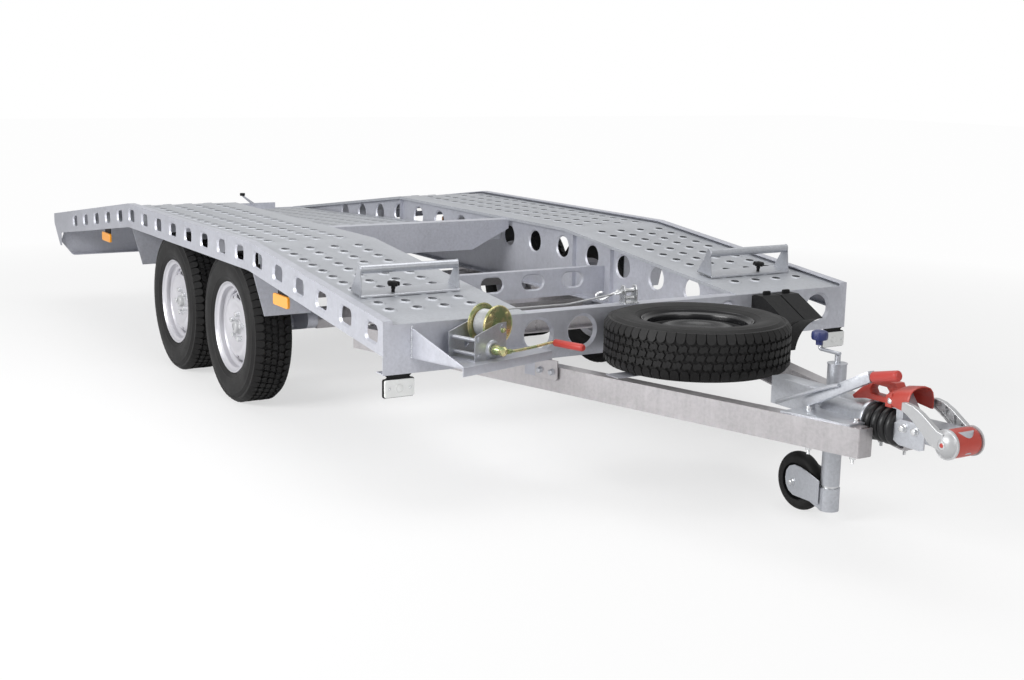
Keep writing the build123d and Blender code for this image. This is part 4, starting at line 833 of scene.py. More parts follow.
def make_collar(name):
    """The raised lip round one hole, standing on Z = 0."""
    piece = add(
        bpy.ops.mesh.primitive_circle_add, name, vertices=LIP_SIDES, radius=COLLAR_FOOT, fill_type="NOTHING"
    )
    for radius, rise in ((HOLE + 0.0035, COLLAR_TOP), (HOLE, COLLAR_TOP - 0.0008), (HOLE, -SHEET)):
        current = piece.data.vertices[-1].co.copy()
        pick(piece, "VERT", lambda vertex: vertex.index >= len(piece.data.vertices) - LIP_SIDES)
        extrude((0, 0, rise - current.z))
        scale = radius / current.xy.length
        bpy.ops.transform.resize(value=(scale, scale, 1))
        close_edit()
    last_ring = len(piece.data.vertices) - LIP_SIDES
    pick(piece, "EDGE", lambda edge: max(edge.vertices) < LIP_SIDES or min(edge.vertices) >= last_ring)
    bpy.ops.mesh.bridge_edge_loops()
    close_edit()
    return finish_mesh(piece, angle=60)


def slope_matrix(back, y, lift):
    """Stand a piece on the deck at a distance behind the front beam."""
    tilt = 0.0
    if back < FRONT_KNEE:
        tilt = -FRONT_TILT
    elif back > REAR_KNEE:
        tilt = REAR_TILT
    return Matrix.Translation((FRONT - back, y, deck_height(back) + lift)) @ Matrix.Rotation(-tilt, 4, "Y")


def perforate(node, name, spots, material, wall):
    """A copy of a sheet node with a hole at each spot and a raised lip round it, the lip's inner wall in a
    painted shade colour.
    """
    sheet = reworked(node, name, material)
    for vertex in sheet.data.vertices:
        drop = deck_height(FRONT - vertex.co.x) - DECK_DROP - vertex.co.z
        if node.startswith("runway_") and abs(abs(vertex.co.y) - FOLD_Y) < 0.004 and drop > 0.03:
            vertex.co.z += FOLD_DEPTH - FOLD_SHOWN
    cutter = add(
        bpy.ops.mesh.primitive_cylinder_add, "cutter", vertices=LIP_SIDES, radius=HOLE + 0.0006, depth=0.03
    )
    subtract(sheet, copies(cutter, spots, "cutter"))
    collar = make_collar("collar")
    walls = set()
    for face in collar.data.polygons:
        if max(collar.data.vertices[i].co.xy.length for i in face.vertices) < HOLE + 0.0005:
            walls.add(face.index)
    per_collar = len(collar.data.polygons)
    lips = copies(collar, spots, name + "_lips")
    wear(lips, "chassis", material)
    # The inner walls of the lips take the painted shade colour
    lips.data.materials.append(wall)
    for face in lips.data.polygons:
        face.material_index = 1 if face.index % per_collar in walls else 0


ROWS = 47
columns = [0.611, 0.719, 0.828, 0.936]


def runway_spots(side):
    """Hole places: four columns, clear of the knees."""
    spots = []
    for row in range(ROWS):
        back = (0.18, 0.272, 0.366)[row] if row < 3 else 0.475 + 0.0936 * (row - 3)
        if back > 4.42 or abs(back - FRONT_KNEE) < 0.035 or abs(back - REAR_KNEE) < 0.035:
            continue
        spots += [slope_matrix(back, side * y, -DECK_DROP) for y in columns]
    return spots


# The near runway's hole walls get the lighter painted shade, the far runway's the darker
for hand, side, wall in (("right", -1, hole_lit), ("left", 1, hole_shade)):
    perforate(f"runway_{hand}", f"perforated_runway_{hand}", runway_spots(side), deck_zinc, wall)

PLATFORM_FRONT = 1.815
PLATFORM_TOP = 0.652
PLATFORM_TILT = 0.0477
PLATFORM_FALL = (PLATFORM_TOP - 0.5296) / (4.38 - PLATFORM_FRONT)
platform_spots = []
for row in range(26):
    back = PLATFORM_FRONT + 0.07 + 0.0942 * row
    for column in range(8):
        y = 0.108 * (column - 3.5)
        height = PLATFORM_TOP - PLATFORM_FALL * (back - PLATFORM_FRONT)
        spot = Matrix.Translation((FRONT - back, y, height))
        platform_spots.append(spot @ Matrix.Rotation(-PLATFORM_TILT, 4, "Y"))
# The platform's hole walls get the lighter painted shade
perforate("centre_platform", "perforated_platform", platform_spots, deck_zinc, hole_lit)

# Wheel stops: tube on two triangular plates over a narrow folded foot, held by a star knob

STOP_DEPTH = 0.092
STOP_LIFT = 0.0065
TUBE_BACK = 0.032
TUBE_HEIGHT = 0.092
TUBE_RADIUS = 0.016


def star_knob(name, spot):
    """Black moulded knob with five lobes on a short stem."""
    stem_line = [
        (0, 0), (0.0065, 0), (0.0065, 0.01), (0.0085, 0.014), (0.0075, 0.022), (0.01, 0.026), (0, 0.026)
    ]
    stem = turned(name, stem_line, 16)
    head = add(
        bpy.ops.mesh.primitive_cylinder_add, name, vertices=30, radius=0.021, depth=0.011,
        location=(0, 0, 0.03)
    )
    for vertex in head.data.vertices:
        lobe = 1 + 0.16 * cos(5 * Vector(vertex.co[:2]).angle_signed(Vector((1, 0))))
        vertex.co.x *= lobe
        vertex.co.y *= lobe
    pick(head, "FACE", lambda face: face.normal.z > 0.9)
    bpy.ops.mesh.inset(thickness=0.005, depth=0.004)
    close_edit()
    soften(freeze(head), 0.002)
    return place(joined(name, [stem, head]), spot)


def wheel_stop(side, front, inner, outer):
    """One stop as metal and knob, from its front edge's distance behind the beam."""
    tilt = Matrix.Rotation(FRONT_TILT, 4, "Y")
    base = Matrix.Translation((FRONT - front, 0, deck_height(front) - DECK_DROP + STOP_LIFT)) @ tilt
    cheek_line = [(-STOP_DEPTH, 0), (0, 0)]
    for degrees in range(-10, 191, 25):
        angle = radians(degrees)
        cheek_line.append((-TUBE_BACK + 0.0135 * cos(angle), TUBE_HEIGHT + 0.018 * sin(angle)))
    pieces = [place(plate("cheek", cheek_line, SHEET), base @ upright(0, y)) for y in (inner + SHEET, outer)]
    reach = outer - inner - 0.004
    tube_line = [
        (TUBE_RADIUS - 0.003, 0), (TUBE_RADIUS, 0.001), (TUBE_RADIUS, reach - 0.001),
        (TUBE_RADIUS - 0.003, reach)
    ]
    tube = turned("tube", [(0, 0)] + tube_line + [(0, reach)], 28)
    lie = Matrix.Rotation(-pi / 2, 4, "X")
    pieces.append(place(tube, base @ Matrix.Translation((-TUBE_BACK, inner + 0.002, TUBE_HEIGHT)) @ lie))
    foot = add(bpy.ops.mesh.primitive_plane_add, "foot", size=1)
    foot.scale = (STOP_DEPTH, outer - inner, 1)
    foot.location = (-STOP_DEPTH / 2, (inner + outer) / 2, 0.004)
    freeze(foot)
    pick(foot, "EDGE", lambda edge: all(foot.data.vertices[i].co.x > -0.001 for i in edge.vertices))
    extrude((0.003, 0, -0.002))
    extrude((0.001, 0, -0.006))
    close_edit()
    thicken(foot, 0.003)
    pieces.append(place(finish_mesh(foot), base))
    metal = joined(f"wheel_stop_{side}", pieces)
    soften(metal, 0.0006)
    wear(metal, "chassis", bracket_zinc, ["wheel_stops"])
    knob_y = 0.36 * inner + 0.64 * outer if inner > 0 else 0.66 * inner + 0.34 * outer
    knob = star_knob(f"stop_knob_{side}", base @ Matrix.Translation((-0.022, knob_y, 0.004)))
    wear(knob, "chassis", black_plastic)


wheel_stop("right", 0.345, -0.968, -0.566)
wheel_stop("left", 0.25, 0.543, 0.957)

# Bolts, nuts and studs


def make_bolt(name, across=0.019, height=0.0085, washer=0.012, thread=0.0):
    """Hex head on a washer, standing on Z = 0, with a thread end above if asked."""
    head = add(
        bpy.ops.mesh.primitive_cylinder_add, name, vertices=6, radius=across / 2 / cos(pi / 6), depth=height
    )
    head.location.z = height / 2 + 0.002
    freeze(head)
    pick(head, "FACE", lambda face: face.normal.z > 0.9)
    bpy.ops.mesh.inset(thickness=across * 0.08, depth=height * 0.12)
    close_edit()
    soften(head, 0.0006, 1)
    washer_line = [(0, 0), (washer, 0), (washer, 0.0018), (washer - 0.001, 0.0024), (0, 0.0024)]
    pieces = [head, turned(name, washer_line, 20)]
    if thread:
        ridges = []
        turns = int(thread / 0.0025)
        for turn in range(turns):
            start = height + 0.002 + turn * thread / turns
            ridges += [(across * 0.26, start), (across * 0.29, start + 0.5 * thread / turns)]
        end = height + 0.002 + thread
        pieces.append(turned(name, [(0, height)] + ridges + [(across * 0.22, end), (0, end)], 12))
    return finish_mesh(joined(name, pieces), angle=32)


def bolts(name, spots, body="chassis", material=bolt_zinc, slot="galvanised_steel", **sizes):
    """Bolts of one size, each standing along a direction at a spot."""
    piece = copies(make_bolt(name, **sizes), [turn_to(direction, spot) for spot, direction in spots], name)
    return wear(piece, body, material)


def beam_face(ahead, side, height):
    """Point on a drawbar's outer face."""
    return Vector((FRONT + ahead, side * (0.12 + (1.277 - ahead) * BAR_SLOPE), height))


DOWN = Vector((0, 0, -1))
plate_places = ((1.222, -0.078), (1.222, 0.078), (1.036, -0.096), (1.036, 0.096))
plate_bolts = [((FRONT + ahead, y, 0.428), UP) for ahead, y in plate_places]
bolts("overrun_plate_bolts", plate_bolts, across=0.017, height=0.007, washer=0.011)
stud_places = ((1.1, -0.15), (1.245, -0.108), (1.245, 0.108), (1.1, 0.15))
studs = [((FRONT + ahead, y, 0.332), DOWN) for ahead, y in stud_places]
bolts("drawbar_studs", studs, across=0.017, height=0.009, washer=0.011, thread=0.014)
long_studs = [((FRONT + 1.222, y, 0.422), DOWN) for y in (-0.03, 0.03)]
bolts("coupling_studs", long_studs, across=0.017, height=0.05, washer=0.012, thread=0.03)
head_bolts = []
for side in (-1, 1):
    head_bolts += [
        ((FRONT + ahead, side * 0.04, 0.437), side * Vector((0, 1, 0))) for ahead in (1.372, 1.418)
    ]
bolts("coupling_head_bolts", head_bolts, across=0.019, height=0.01, washer=0.0125)
tray_bolts = [(winch_place(-0.13, across, 0.474), DOWN) for across in (-0.62, -0.8)]
bolts("tray_bolts", tray_bolts, across=0.013, height=0.007, washer=0.01)

# Winch tray with a full-length gusset from the beam to its outer corner
TRAY_TOP = 0.478
GUSSET_ACROSS = -0.907
GUSSET_RISE = 0.099
GUSSET_FRONT = -0.011
reworked("winch_tray", "folded_winch_tray", rail_zinc, 0.0012, 30, [((0, 0, TRAY_TOP + 0.0002), (0, 0, 1))])
gusset_back = GUSSET_ACROSS * BAR_SLOPE + 0.0005
gusset_line = [
    (gusset_back, -0.002), (GUSSET_FRONT, -0.002), (GUSSET_FRONT, 0.004), (gusset_back + 0.006, GUSSET_RISE),
    (gusset_back, GUSSET_RISE)
]
gusset = plate("tray_gusset", gusset_line, 0.004, 0.0008)
gusset_place = Matrix((ALONG, UP, -ACROSS)).transposed().to_4x4()
place(gusset, Matrix.Translation(winch_place(0, GUSSET_ACROSS + 0.004, TRAY_TOP)) @ gusset_place)
galvanised(gusset, rail_zinc)

# Clamp plates that tie each drawbar to the front beam
clamp_outline = [
    (-0.052, 0.036), (-0.052, -0.028), (-0.044, -0.036), (0.044, -0.036), (0.052, -0.028), (0.052, 0.036)
]
CLAMP_OUT = 0.0042
CLAMP_WALL = 0.006
CLAMP_AHEAD = 0.101
for side, hand in ((-1, "right"), (1, "left")):
    along = Vector((cos(BAR_ANGLE), -side * sin(BAR_ANGLE), 0))
    out = Vector((sin(BAR_ANGLE), side * cos(BAR_ANGLE), 0))
    across = along if side < 0 else -along
    place_on = Matrix((across, UP, out)).transposed().to_4x4()
    clamp = plate(f"drawbar_clamp_{hand}", clamp_outline, CLAMP_WALL, 0.001)
    place(clamp, Matrix.Translation(beam_face(CLAMP_AHEAD, side, 0.4105) + out * CLAMP_OUT) @ place_on)
    galvanised(clamp, bar_zinc)
    spots = []
    for shift in (-0.027, 0.027):
        spots.append((beam_face(CLAMP_AHEAD + shift, side, 0.404) + out * (CLAMP_OUT + CLAMP_WALL), out))
    bolts(f"clamp_bolts_{hand}", spots, material=bracket_zinc, across=0.018, height=0.009, washer=0.012)

# Coupling: cast arms from the hood to the friction caps, cap centres and hood rivets

ARM_TOP = [
    (1.386, 0.521), (1.402, 0.5225), (1.43, 0.518), (1.464, 0.503), (1.498, 0.482), (1.524, 0.466),
    (1.545, 0.462)
]
ARM_BOTTOM = [
    (1.54, 0.412), (1.508, 0.418), (1.488, 0.428), (1.47, 0.446), (1.436, 0.471), (1.41, 0.486),
    (1.386, 0.497)
]
ARM_WALL = 0.017
RIB_WALL = 0.0022
arms = []
for side in (-1, 1):
    arm = plate("arm", ARM_TOP + ARM_BOTTOM, ARM_WALL)
    inner_up = side < 0
    pick(arm, "FACE", lambda face: (face.normal.z > 0.9) != inner_up and abs(face.normal.z) > 0.9)
    bpy.ops.mesh.inset(thickness=0.0035, depth=0)
    extrude((0, 0, 0.01 if inner_up else -0.01))
    close_edit()
    soften(arm, 0.0022, 2, 40)
    ribs = []
    for step in range(7):
        share = (step + 0.9) / 8
        place_top = ARM_TOP[1 + int(share * 5)]
        place_low = ARM_BOTTOM[5 - int(share * 5)]
        middle = ((place_top[0] + place_low[0]) / 2, (place_top[1] + place_low[1]) / 2)
        spot = (middle[0] + 0.004 * (step % 2), middle[1], 0.0065 if inner_up else ARM_WALL - 0.0065)
        rib = block("rib", (RIB_WALL, 0.024, 0.009), spot, radians(-35 + (40 if step % 2 else -40)))
        soften(rib, 0.0005, 1)
        ribs.append(rib)
    arm = joined("arm", [arm] + ribs)
    arms.append(place(arm, upright(FRONT, -0.0525 if side < 0 else 0.0695)))
arms = joined("cast_coupling_arms", arms)
wear(finish_mesh(arms, 35), "chassis", casting_silver, ["coupling_arms"])

CAP = Vector((FRONT + 1.546, 0, 0.431))
ring_line = [(0.0068, 0), (0.0068, 0.0016), (0.0078, 0.0024), (0.0105, 0.002), (0.0118, 0.0008), (0.0118, 0)]
dot_line = [(0, 0), (0.0068, 0), (0.0066, 0.0012), (0.005, 0.0022), (0.0025, 0.0028), (0, 0.003)]
cap_low, cap_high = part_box("friction_pads")
for side, hand in ((-1, "right"), (1, "left")):
    face = cap_low.y if side < 0 else cap_high.y
    face -= side * 0.0006
    spot = turn_to((0, side, 0), (CAP.x, face, CAP.z))
    wear(place(turned(f"cap_ring_{hand}", ring_line, 24, True), spot), "chassis", bolt_zinc)
    wear(place(turned(f"cap_centre_{hand}", dot_line, 20), spot), "chassis", red_grip)
rivet_line = [(0, 0), (0.0075, 0), (0.0078, 0.0012), (0.0066, 0.0032), (0.004, 0.0046), (0, 0.005)]
hood_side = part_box("coupling_handle")[1].y - 0.0005
rivets = [turn_to((0, side, 0), (FRONT + 1.3215, side * hood_side, 0.508)) for side in (-1, 1)]
wear(copies(turned("rivet", rivet_line, 18), rivets, "hood_rivets"), "chassis", bolt_zinc)

loop_end = ((FRONT + 1.328, 0, 0), (1, 0, 0))
reworked("coupling_handle", "handle_loop", red_plastic, 0.0035, 40, [loop_end])
# Distance ahead, half width, bottom and top of each section of the hood
HOOD = [
    (1.296, 0.03, 0.515, 0.533), (1.318, 0.0495, 0.5, 0.543), (1.345, 0.0525, 0.4945, 0.555),
    (1.388, 0.0535, 0.489, 0.563), (1.396, 0.053, 0.4905, 0.5625)
]
HOOD_ARCH = [
    (-1, 0), (-1, 0.42), (-0.9, 0.7), (-0.68, 0.88), (-0.35, 0.97), (0, 1), (0.35, 0.97), (0.68, 0.88),
    (0.9, 0.7), (1, 0.42), (1, 0)
]
count = len(HOOD_ARCH)
hood = ring("hood", count)
open_ring(hood, count)
for step, (ahead, half, bottom, top) in enumerate(HOOD):
    if step:
        pick(hood, "VERT", lambda vertex: vertex.index >= count * (step - 1))
        extrude((0, 0, 0.01))
        close_edit()
    for vertex, (across, rise) in zip(list(hood.data.vertices)[count * step:], HOOD_ARCH):
        vertex.co = (FRONT + ahead, across * half, bottom + (top - bottom) * rise)
finish_mesh(hood, 50)
thicken(hood, 0.0035)
soften(hood, 0.0009, 2, 50)
wear(finish_mesh(hood, 50), "chassis", red_plastic)

# Side lamps made thinner, the rear beam's lower corners and latch and the mudguards' rear walls moved
LAMP_CUT = 0.008
CORNER_OUT = 0.049
LATCH_LEAN = 0.07
GUARD_BACK = 0.2
side_lamp = reworked("side_lamps", "thin_side_lamps", amber_lens)
for vertex in side_lamp.data.vertices:
    if abs(vertex.co.y) > 1.044:
        vertex.co.y -= copysign(LAMP_CUT, vertex.co.y)
soften(side_lamp, 0.0018, 2, 40)
tail = reworked("rear_beam", "folded_rear_beam", rail_zinc)
tail.data.materials.append(black_plastic)
for vertex in tail.data.vertices:
    if abs(vertex.co.y) > 0.9 and vertex.co.z < 0.4:
        vertex.co.y += copysign(CORNER_OUT, vertex.co.y)
    if 0.14 < vertex.co.y < 0.19 and vertex.co.z > 0.6:
        vertex.co.y -= LATCH_LEAN
for face in tail.data.polygons:
    face.material_index = 1 if face.center.z > 0.6155 and face.center.y > 0 else 0
guards = reworked("mudguards", "folded_mudguards", rail_zinc)
for vertex in guards.data.vertices:
    if vertex.co.x < FRONT - 2.55:
        vertex.co.x -= GUARD_BACK

# Soft dock, friction caps, coupling head with its notch, levers and housing
dock_line = [(0, -0.0475), (0.036, -0.0475), (0.0398, -0.0455), (0.0412, -0.04), (0.0418, -0.02), (0.042, 0)]
dock_line += [(radius, -height) for radius, height in reversed(dock_line[:-1])]
dock = place(turned("soft_dock", dock_line, 56), turn_to((0, 1, 0), CAP))
wear(dock, "chassis", red_plastic, ["nose_buffer"])
reworked("friction_pads", "cast_caps", casting_silver, 0.0, 60)
head = reworked("coupling_head", "pressed_head", bracket_zinc)
subtract(head, block("notch", (0.046, 0.14, 0.088), (FRONT + 1.475, 0, 0.415)))
soften(head, 0.0018, 2, 40)
bpy.ops.object.shade_smooth_by_angle(angle=radians(35))
reworked("handbrake_lever", "pressed_lever", bracket_zinc, 0.0015)
reworked("handbrake_grip", "moulded_grip", red_grip, 0.0035, 45)
reworked("winch_grip", "winch_hand_grip", red_grip, 0.0035, 45)
reworked("overrun_housing", "folded_housing", bracket_zinc, 0.0016)

# Closed front ends of the drawbars
ends = []
for side in (-1, 1):
    end = plate("end", rounded(0.052, 0.09, 0.004), 0.003, 0.0008)
    ends.append(place(end, Matrix.Translation((FRONT + 1.2768, side * 0.094, 0.377)) @ facing))
galvanised(joined("drawbar_end_plates", ends), bar_zinc)

# Lever pull rod beside the hand lever
pull_route = [(0.905, -0.112, 0.424), (0.93, -0.112, 0.436), (1.13, -0.108, 0.521), (1.165, -0.104, 0.53)]
pull = rod("brake_pull_rod", [(FRONT + ahead, y, z) for ahead, y, z in pull_route], 0.0065, 12)
galvanised(pull, bracket_zinc)

# Jockey wheel: blue crank knob, fork cheeks and axle nuts
CHEEK_OUT = 0.039
CHEEK_WALL = 0.0035
knob_line = [
    (0, 0.574), (0.0115, 0.574), (0.0115, 0.584), (0.014, 0.5895), (0.0245, 0.5915), (0.0268, 0.598),
    (0.0268, 0.61), (0.025, 0.6175), (0.017, 0.6215), (0, 0.6225)
]
knob = turned("jockey_knob", knob_line, 40)
for vertex in knob.data.vertices:
    if vertex.co.z > 0.5905:
        lobe = 1 + 0.022 * cos(8 * Vector(vertex.co[:2]).angle_signed(Vector((1, 0)), 0))
        vertex.co.x *= lobe
        vertex.co.y *= lobe
place(knob, Matrix.Translation((FRONT + 0.827, JOCKEY_Y, 0)))
wear(knob, "chassis", blue_plastic)
cheek_line = [
    (0.905, 0.056), (0.905, 0.136), (0.86, 0.15), (0.815, 0.161), (0.785, 0.162), (0.762, 0.153),
    (0.748, 0.135)
]
cheek_line += [(0.744, 0.11), (0.748, 0.088), (0.762, 0.068), (0.785, 0.057)]
cheeks = []
for side in (-1, 1):
    cheek = plate("cheek", cheek_line, CHEEK_WALL, 0.001)
    cheeks.append(place(cheek, upright(FRONT, JOCKEY_Y + side * CHEEK_OUT + CHEEK_WALL / 2)))
wear(joined("fork_cheeks", cheeks), "jockey_fork", bracket_zinc)
axle_nuts = []
for side in (-1, 1):
    axle_nuts.append(((FRONT + 0.777, JOCKEY_Y + side * (CHEEK_OUT + CHEEK_WALL / 2), 0.1), (0, side, 0)))
bolts("jockey_axle_nuts", axle_nuts, "jockey_fork", across=0.018, height=0.009, washer=0.012)

# Winch: crank, boss, rope coil and rolled flange rims

HUB = (-0.725, 0.511)
AXLE = (-0.6745, 0.5831)
PLATE_FACE = -0.054


def on_winch(forward, across, height):
    """Matrix that stands a piece along the drawbar at a place on the winch."""
    return turn_to(ALONG, winch_place(forward, across, height))


boss_line = [
    (0.0175, 0), (0.0175, 0.007), (0.021, 0.0078), (0.0265, 0.0066), (0.03, 0.004), (0.0318, 0.0012),
    (0.033, 0)
]
boss = place(turned("boss", boss_line, 36, True), on_winch(PLATE_FACE, *HUB))
dome_line = [(0, 0), (0.0056, 0), (0.0058, 0.0012), (0.0046, 0.0028), (0, 0.0036)]
plate_rivets = [(-0.7925, 0.556), (-0.7925, 0.494), (-0.668, 0.494)]
domes = copies(turned("dome", dome_line, 14), [on_winch(PLATE_FACE, *spot) for spot in plate_rivets], "dome")
galvanised(joined("winch_boss", [boss, domes]), bracket_zinc)
axle_bolt = make_bolt("drum_axle_bolt", 0.015, 0.006, 0.0105, 0.004)
wear(place(axle_bolt, on_winch(PLATE_FACE, AXLE[0], 0.5712)), "chassis", yellow_zinc)

sleeve_line = [
    (0, -0.05), (0.012, -0.05), (0.012, -0.046), (0.0175, -0.044), (0.0182, -0.03), (0.015, -0.022),
    (0.014, -0.012), (0.0165, -0.009), (0.0168, 0.002), (0.012, 0.008), (0.0085, 0.013), (0, 0.0138)
]
sleeve = place(turned("crank_sleeve", sleeve_line, 28), on_winch(0, *HUB))
crank_route = [
    (0.004, -0.7265, 0.5112), (0.0085, -0.718, 0.5108), (0.011, -0.7, 0.51), (0.0105, -0.65, 0.509),
    (0.0085, -0.56, 0.5098), (0.006, -0.498, 0.513), (0.01, -0.479, 0.512), (0.02, -0.478, 0.511)
]
bar = rod("crank_bar", [winch_place(*point) for point in crank_route], 0.0052, 16)
collar_line = [(0, 0), (0.0085, 0), (0.0085, 0.012), (0.0062, 0.02), (0, 0.02)]
collar_turn = turn_to(ACROSS, winch_place(0.0095, -0.716, 0.5105))
collar = place(turned("crank_collar", collar_line, 20), collar_turn)
crank = joined("slender_crank", [sleeve, bar, collar])
wear(crank, "winch_crank", yellow_zinc, ["winch_crank"])
rim_button = [(0, 0), (0.0105, 0), (0.0115, 0.003), (0.0095, 0.0055), (0, 0.0062)]
wear(
    place(turned("grip_end", rim_button, 24), on_winch(0.136, -0.478, 0.511)), "winch_crank", red_grip,
)

LIP = 0.0028
lip_section = [(0.0672 + LIP * cos(2 * pi * k / 8), LIP * sin(2 * pi * k / 8)) for k in range(8)]
rims = [on_winch(forward, *AXLE) for forward in (-0.0765, -0.1525)]
drum_rims = copies(turned("drum_rim", lip_section, 56, True), rims, "drum_rims")
wear(drum_rims, "winch_drum", yellow_zinc)
drum_bolts = []
for forward, direction in ((-0.075, 1), (-0.154, -1)):
    for step in range(4):
        angle = pi / 4 + step * pi / 2
        across, height = AXLE[0] + 0.056 * cos(angle), AXLE[1] + 0.056 * sin(angle)
        drum_bolts.append((winch_place(forward, across, height), ALONG * direction))
bolts(
    "drum_bolts", drum_bolts, "winch_drum", yellow_zinc, "yellow_zinc", across=0.008, height=0.003,
    washer=0.0058
)
WRAP = 0.0062
COIL_START = -0.1495
wrap_line = [(0.047, 0.0004), (0.0492, 0.0016), (0.05, WRAP / 2), (0.0492, WRAP - 0.0016)]
coil_line = [(0.0435, COIL_START)]
for wrap in range(11):
    coil_line += [(radius, COIL_START + wrap * WRAP + shift) for radius, shift in wrap_line]
coil_line += [(0.047, -0.0812), (0.0435, -0.0812)]
coil = place(turned("rope_coil", coil_line, 48, True), on_winch(0, *AXLE))
wear(coil, "winch_drum", rope_steel)

# Front lamps: white lens on a black back plate under a tapered bracket
LAMP_WIDE = 0.112
LAMP_TALL = 0.06
LAMP_Z = 0.376
LENS_WALL = 0.009
lens_shift = Matrix.Translation((0, 0, LENS_WALL))
ring_section = [(0.0125, 0.0085), (0.013, 0.0105), (0.015, 0.0108), (0.0155, 0.0085)]
eye_line = [(0, 0.0085), (0.0125, 0.0085), (0.012, 0.0098), (0.007, 0.0112), (0, 0.0117)]
neck_line = [(-0.05, 0.03), (0.05, 0.03), (0.042, 0.038), (0.05, 0.0455), (-0.05, 0.0455), (-0.042, 0.038)]
lamp_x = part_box("front_lamps")[1].x - 0.022
for side, hand in ((-1, "right"), (1, "left")):
    lamp_y = side * 0.99
    spot = Matrix.Translation((lamp_x, lamp_y, LAMP_Z)) @ facing
    lens = plate("lens", rounded(LAMP_WIDE, LAMP_TALL, 0.006), LENS_WALL, 0.002)
    pieces = [lens, turned("ring", ring_section, 28, True), turned("eye", eye_line, 24)]
    for piece in pieces:
        place(piece, spot @ lens_shift)
    wear(joined(f"front_lamp_{hand}", pieces), "chassis", white_lens, ["front_lamps"])
    back = place(plate("back", rounded(LAMP_WIDE + 0.006, LAMP_TALL + 0.006, 0.007), 0.01, 0.0015), spot)
    neck = place(plate("neck", neck_line, 0.006), spot @ Matrix.Translation((0, 0, 0.002)))
    wear(joined(f"front_lamp_back_{hand}", [back, neck]), "chassis", black_plastic)
    screws = [((lamp_x + 0.018, lamp_y + shift, LAMP_Z), (1, 0, 0)) for shift in (-0.04, 0.04)]
    bolts(f"front_lamp_screws_{hand}", screws, across=0.0075, height=0.0018, washer=0.005)

# Rims: rolled lip, drop well and a dished disc with slots, one shape for all five wheels
# Radius and distance out from the wheel's middle plane
barrel_line = [
    (0.194, 0.069), (0.1975, 0.0715), (0.1985, 0.0745), (0.197, 0.077), (0.194, 0.0775), (0.1915, 0.0755),
    (0.1895, 0.0705), (0.186, 0.067), (0.179, 0.065), (0.1765, 0.063), (0.175, 0.058), (0.1745, 0.044),
    (0.1715, 0.0395), (0.161, 0.035), (0.158, 0.03), (0.1575, -0.018), (0.162, -0.026), (0.174, -0.033),
    (0.1755, -0.06), (0.185, -0.067), (0.1915, -0.0755), (0.196, -0.077), (0.1985, -0.0745), (0.194, -0.069),
    (0.188, -0.0645), (0.1785, -0.06), (0.178, -0.031), (0.165, -0.023), (0.1608, -0.016), (0.1608, 0.028),
    (0.164, 0.0325), (0.174, 0.037), (0.178, 0.043), (0.1785, 0.06), (0.188, 0.0645),
]
disc_line = [
    (0.1578, 0.01), (0.156, 0.018), (0.15, 0.029), (0.142, 0.041), (0.132, 0.05), (0.12, 0.0535),
    (0.108, 0.0525), (0.096, 0.0475), (0.085, 0.042), (0.074, 0.039), (0.064, 0.0382), (0.033, 0.0382),
    (0.033, 0.035), (0.064, 0.035), (0.074, 0.0358), (0.085, 0.0386), (0.096, 0.044), (0.108, 0.049),
    (0.12, 0.05), (0.13, 0.0466), (0.14, 0.038), (0.1475, 0.0265), (0.153, 0.0165), (0.1545, 0.01),
]
SLOT_RADIUS = 0.145
DOT_RADIUS = 0.129


def make_rim():
    """A rim with its axle along Z and its outer side up."""
    barrel = turned("barrel", barrel_line, 72, True)
    disc = turned("disc", disc_line, 72, True)
    cutters = []
    for quarter in range(4):
        angle = radians(24) + quarter * pi / 2
        slot = block("slot", (0.019, 0.074, 0.06))
        soften(slot, 0.005, 2, 60)
        slot_spot = Matrix.Translation((SLOT_RADIUS, 0, 0.03)) @ Matrix.Rotation(radians(-18), 4, "Y")
        cutters.append(place(slot, Matrix.Rotation(angle, 4, "Z") @ slot_spot))
        dot = add(bpy.ops.mesh.primitive_cylinder_add, "dot", vertices=12, radius=0.0068, depth=0.06)
        dot_spot = Matrix.Translation((DOT_RADIUS, 0, 0.04))
        cutters.append(place(dot, Matrix.Rotation(angle + radians(22), 4, "Z") @ dot_spot))
    subtract(disc, joined("cutter", cutters))
    rim = joined("rim", [barrel, disc])
    bpy.ops.object.shade_smooth_by_angle(angle=radians(35))
    return rim


pattern_rim = make_rim()


# Wheels: a rim, five bolts and a hub cap on each
BOLT_CIRCLE = 0.056
hub_line = [
    (0, 0.03), (0.033, 0.03), (0.033, 0.041), (0.0305, 0.043), (0.0285, 0.0435), (0.027, 0.056), (0.024, 0.06)
]
hub_line += [(0.015, 0.0615), (0.0145, 0.0585), (0, 0.058)]
for wheel, side, x in WHEELS:
    body = f"wheel_{wheel}"
    face = side * (WHEEL_Y + 0.038)
    hub_place = turn_to((0, side, 0), (x, side * WHEEL_Y, WHEEL))
    stand = hub_place @ Matrix.Rotation(0.4 * side + 2 * x, 4, "Z")
    lay(pattern_rim, f"pressed_rim_{wheel}", stand, body, wheel_silver, f"rim_{wheel}")
    spots = []
    for step in range(5):
        angle = radians(90 + 72 * step) + x
        spot = (x + BOLT_CIRCLE * cos(angle), face, WHEEL + BOLT_CIRCLE * sin(angle))
        spots.append((spot, (0, side, 0)))
    bolts(
        f"wheel_bolts_{wheel}", spots, body, bolt_zinc, "silver_steel", across=0.0205, height=0.016,
        washer=0.0142
    )
    wear(place(turned(f"hub_cap_{wheel}", hub_line, 32), hub_place), body, casting_silver)
lay(pattern_rim, "pressed_rim_spare", Matrix.Translation(spare_centre), "chassis", black_paint, "spare_rim")
bpy.data.objects.remove(pattern_rim)
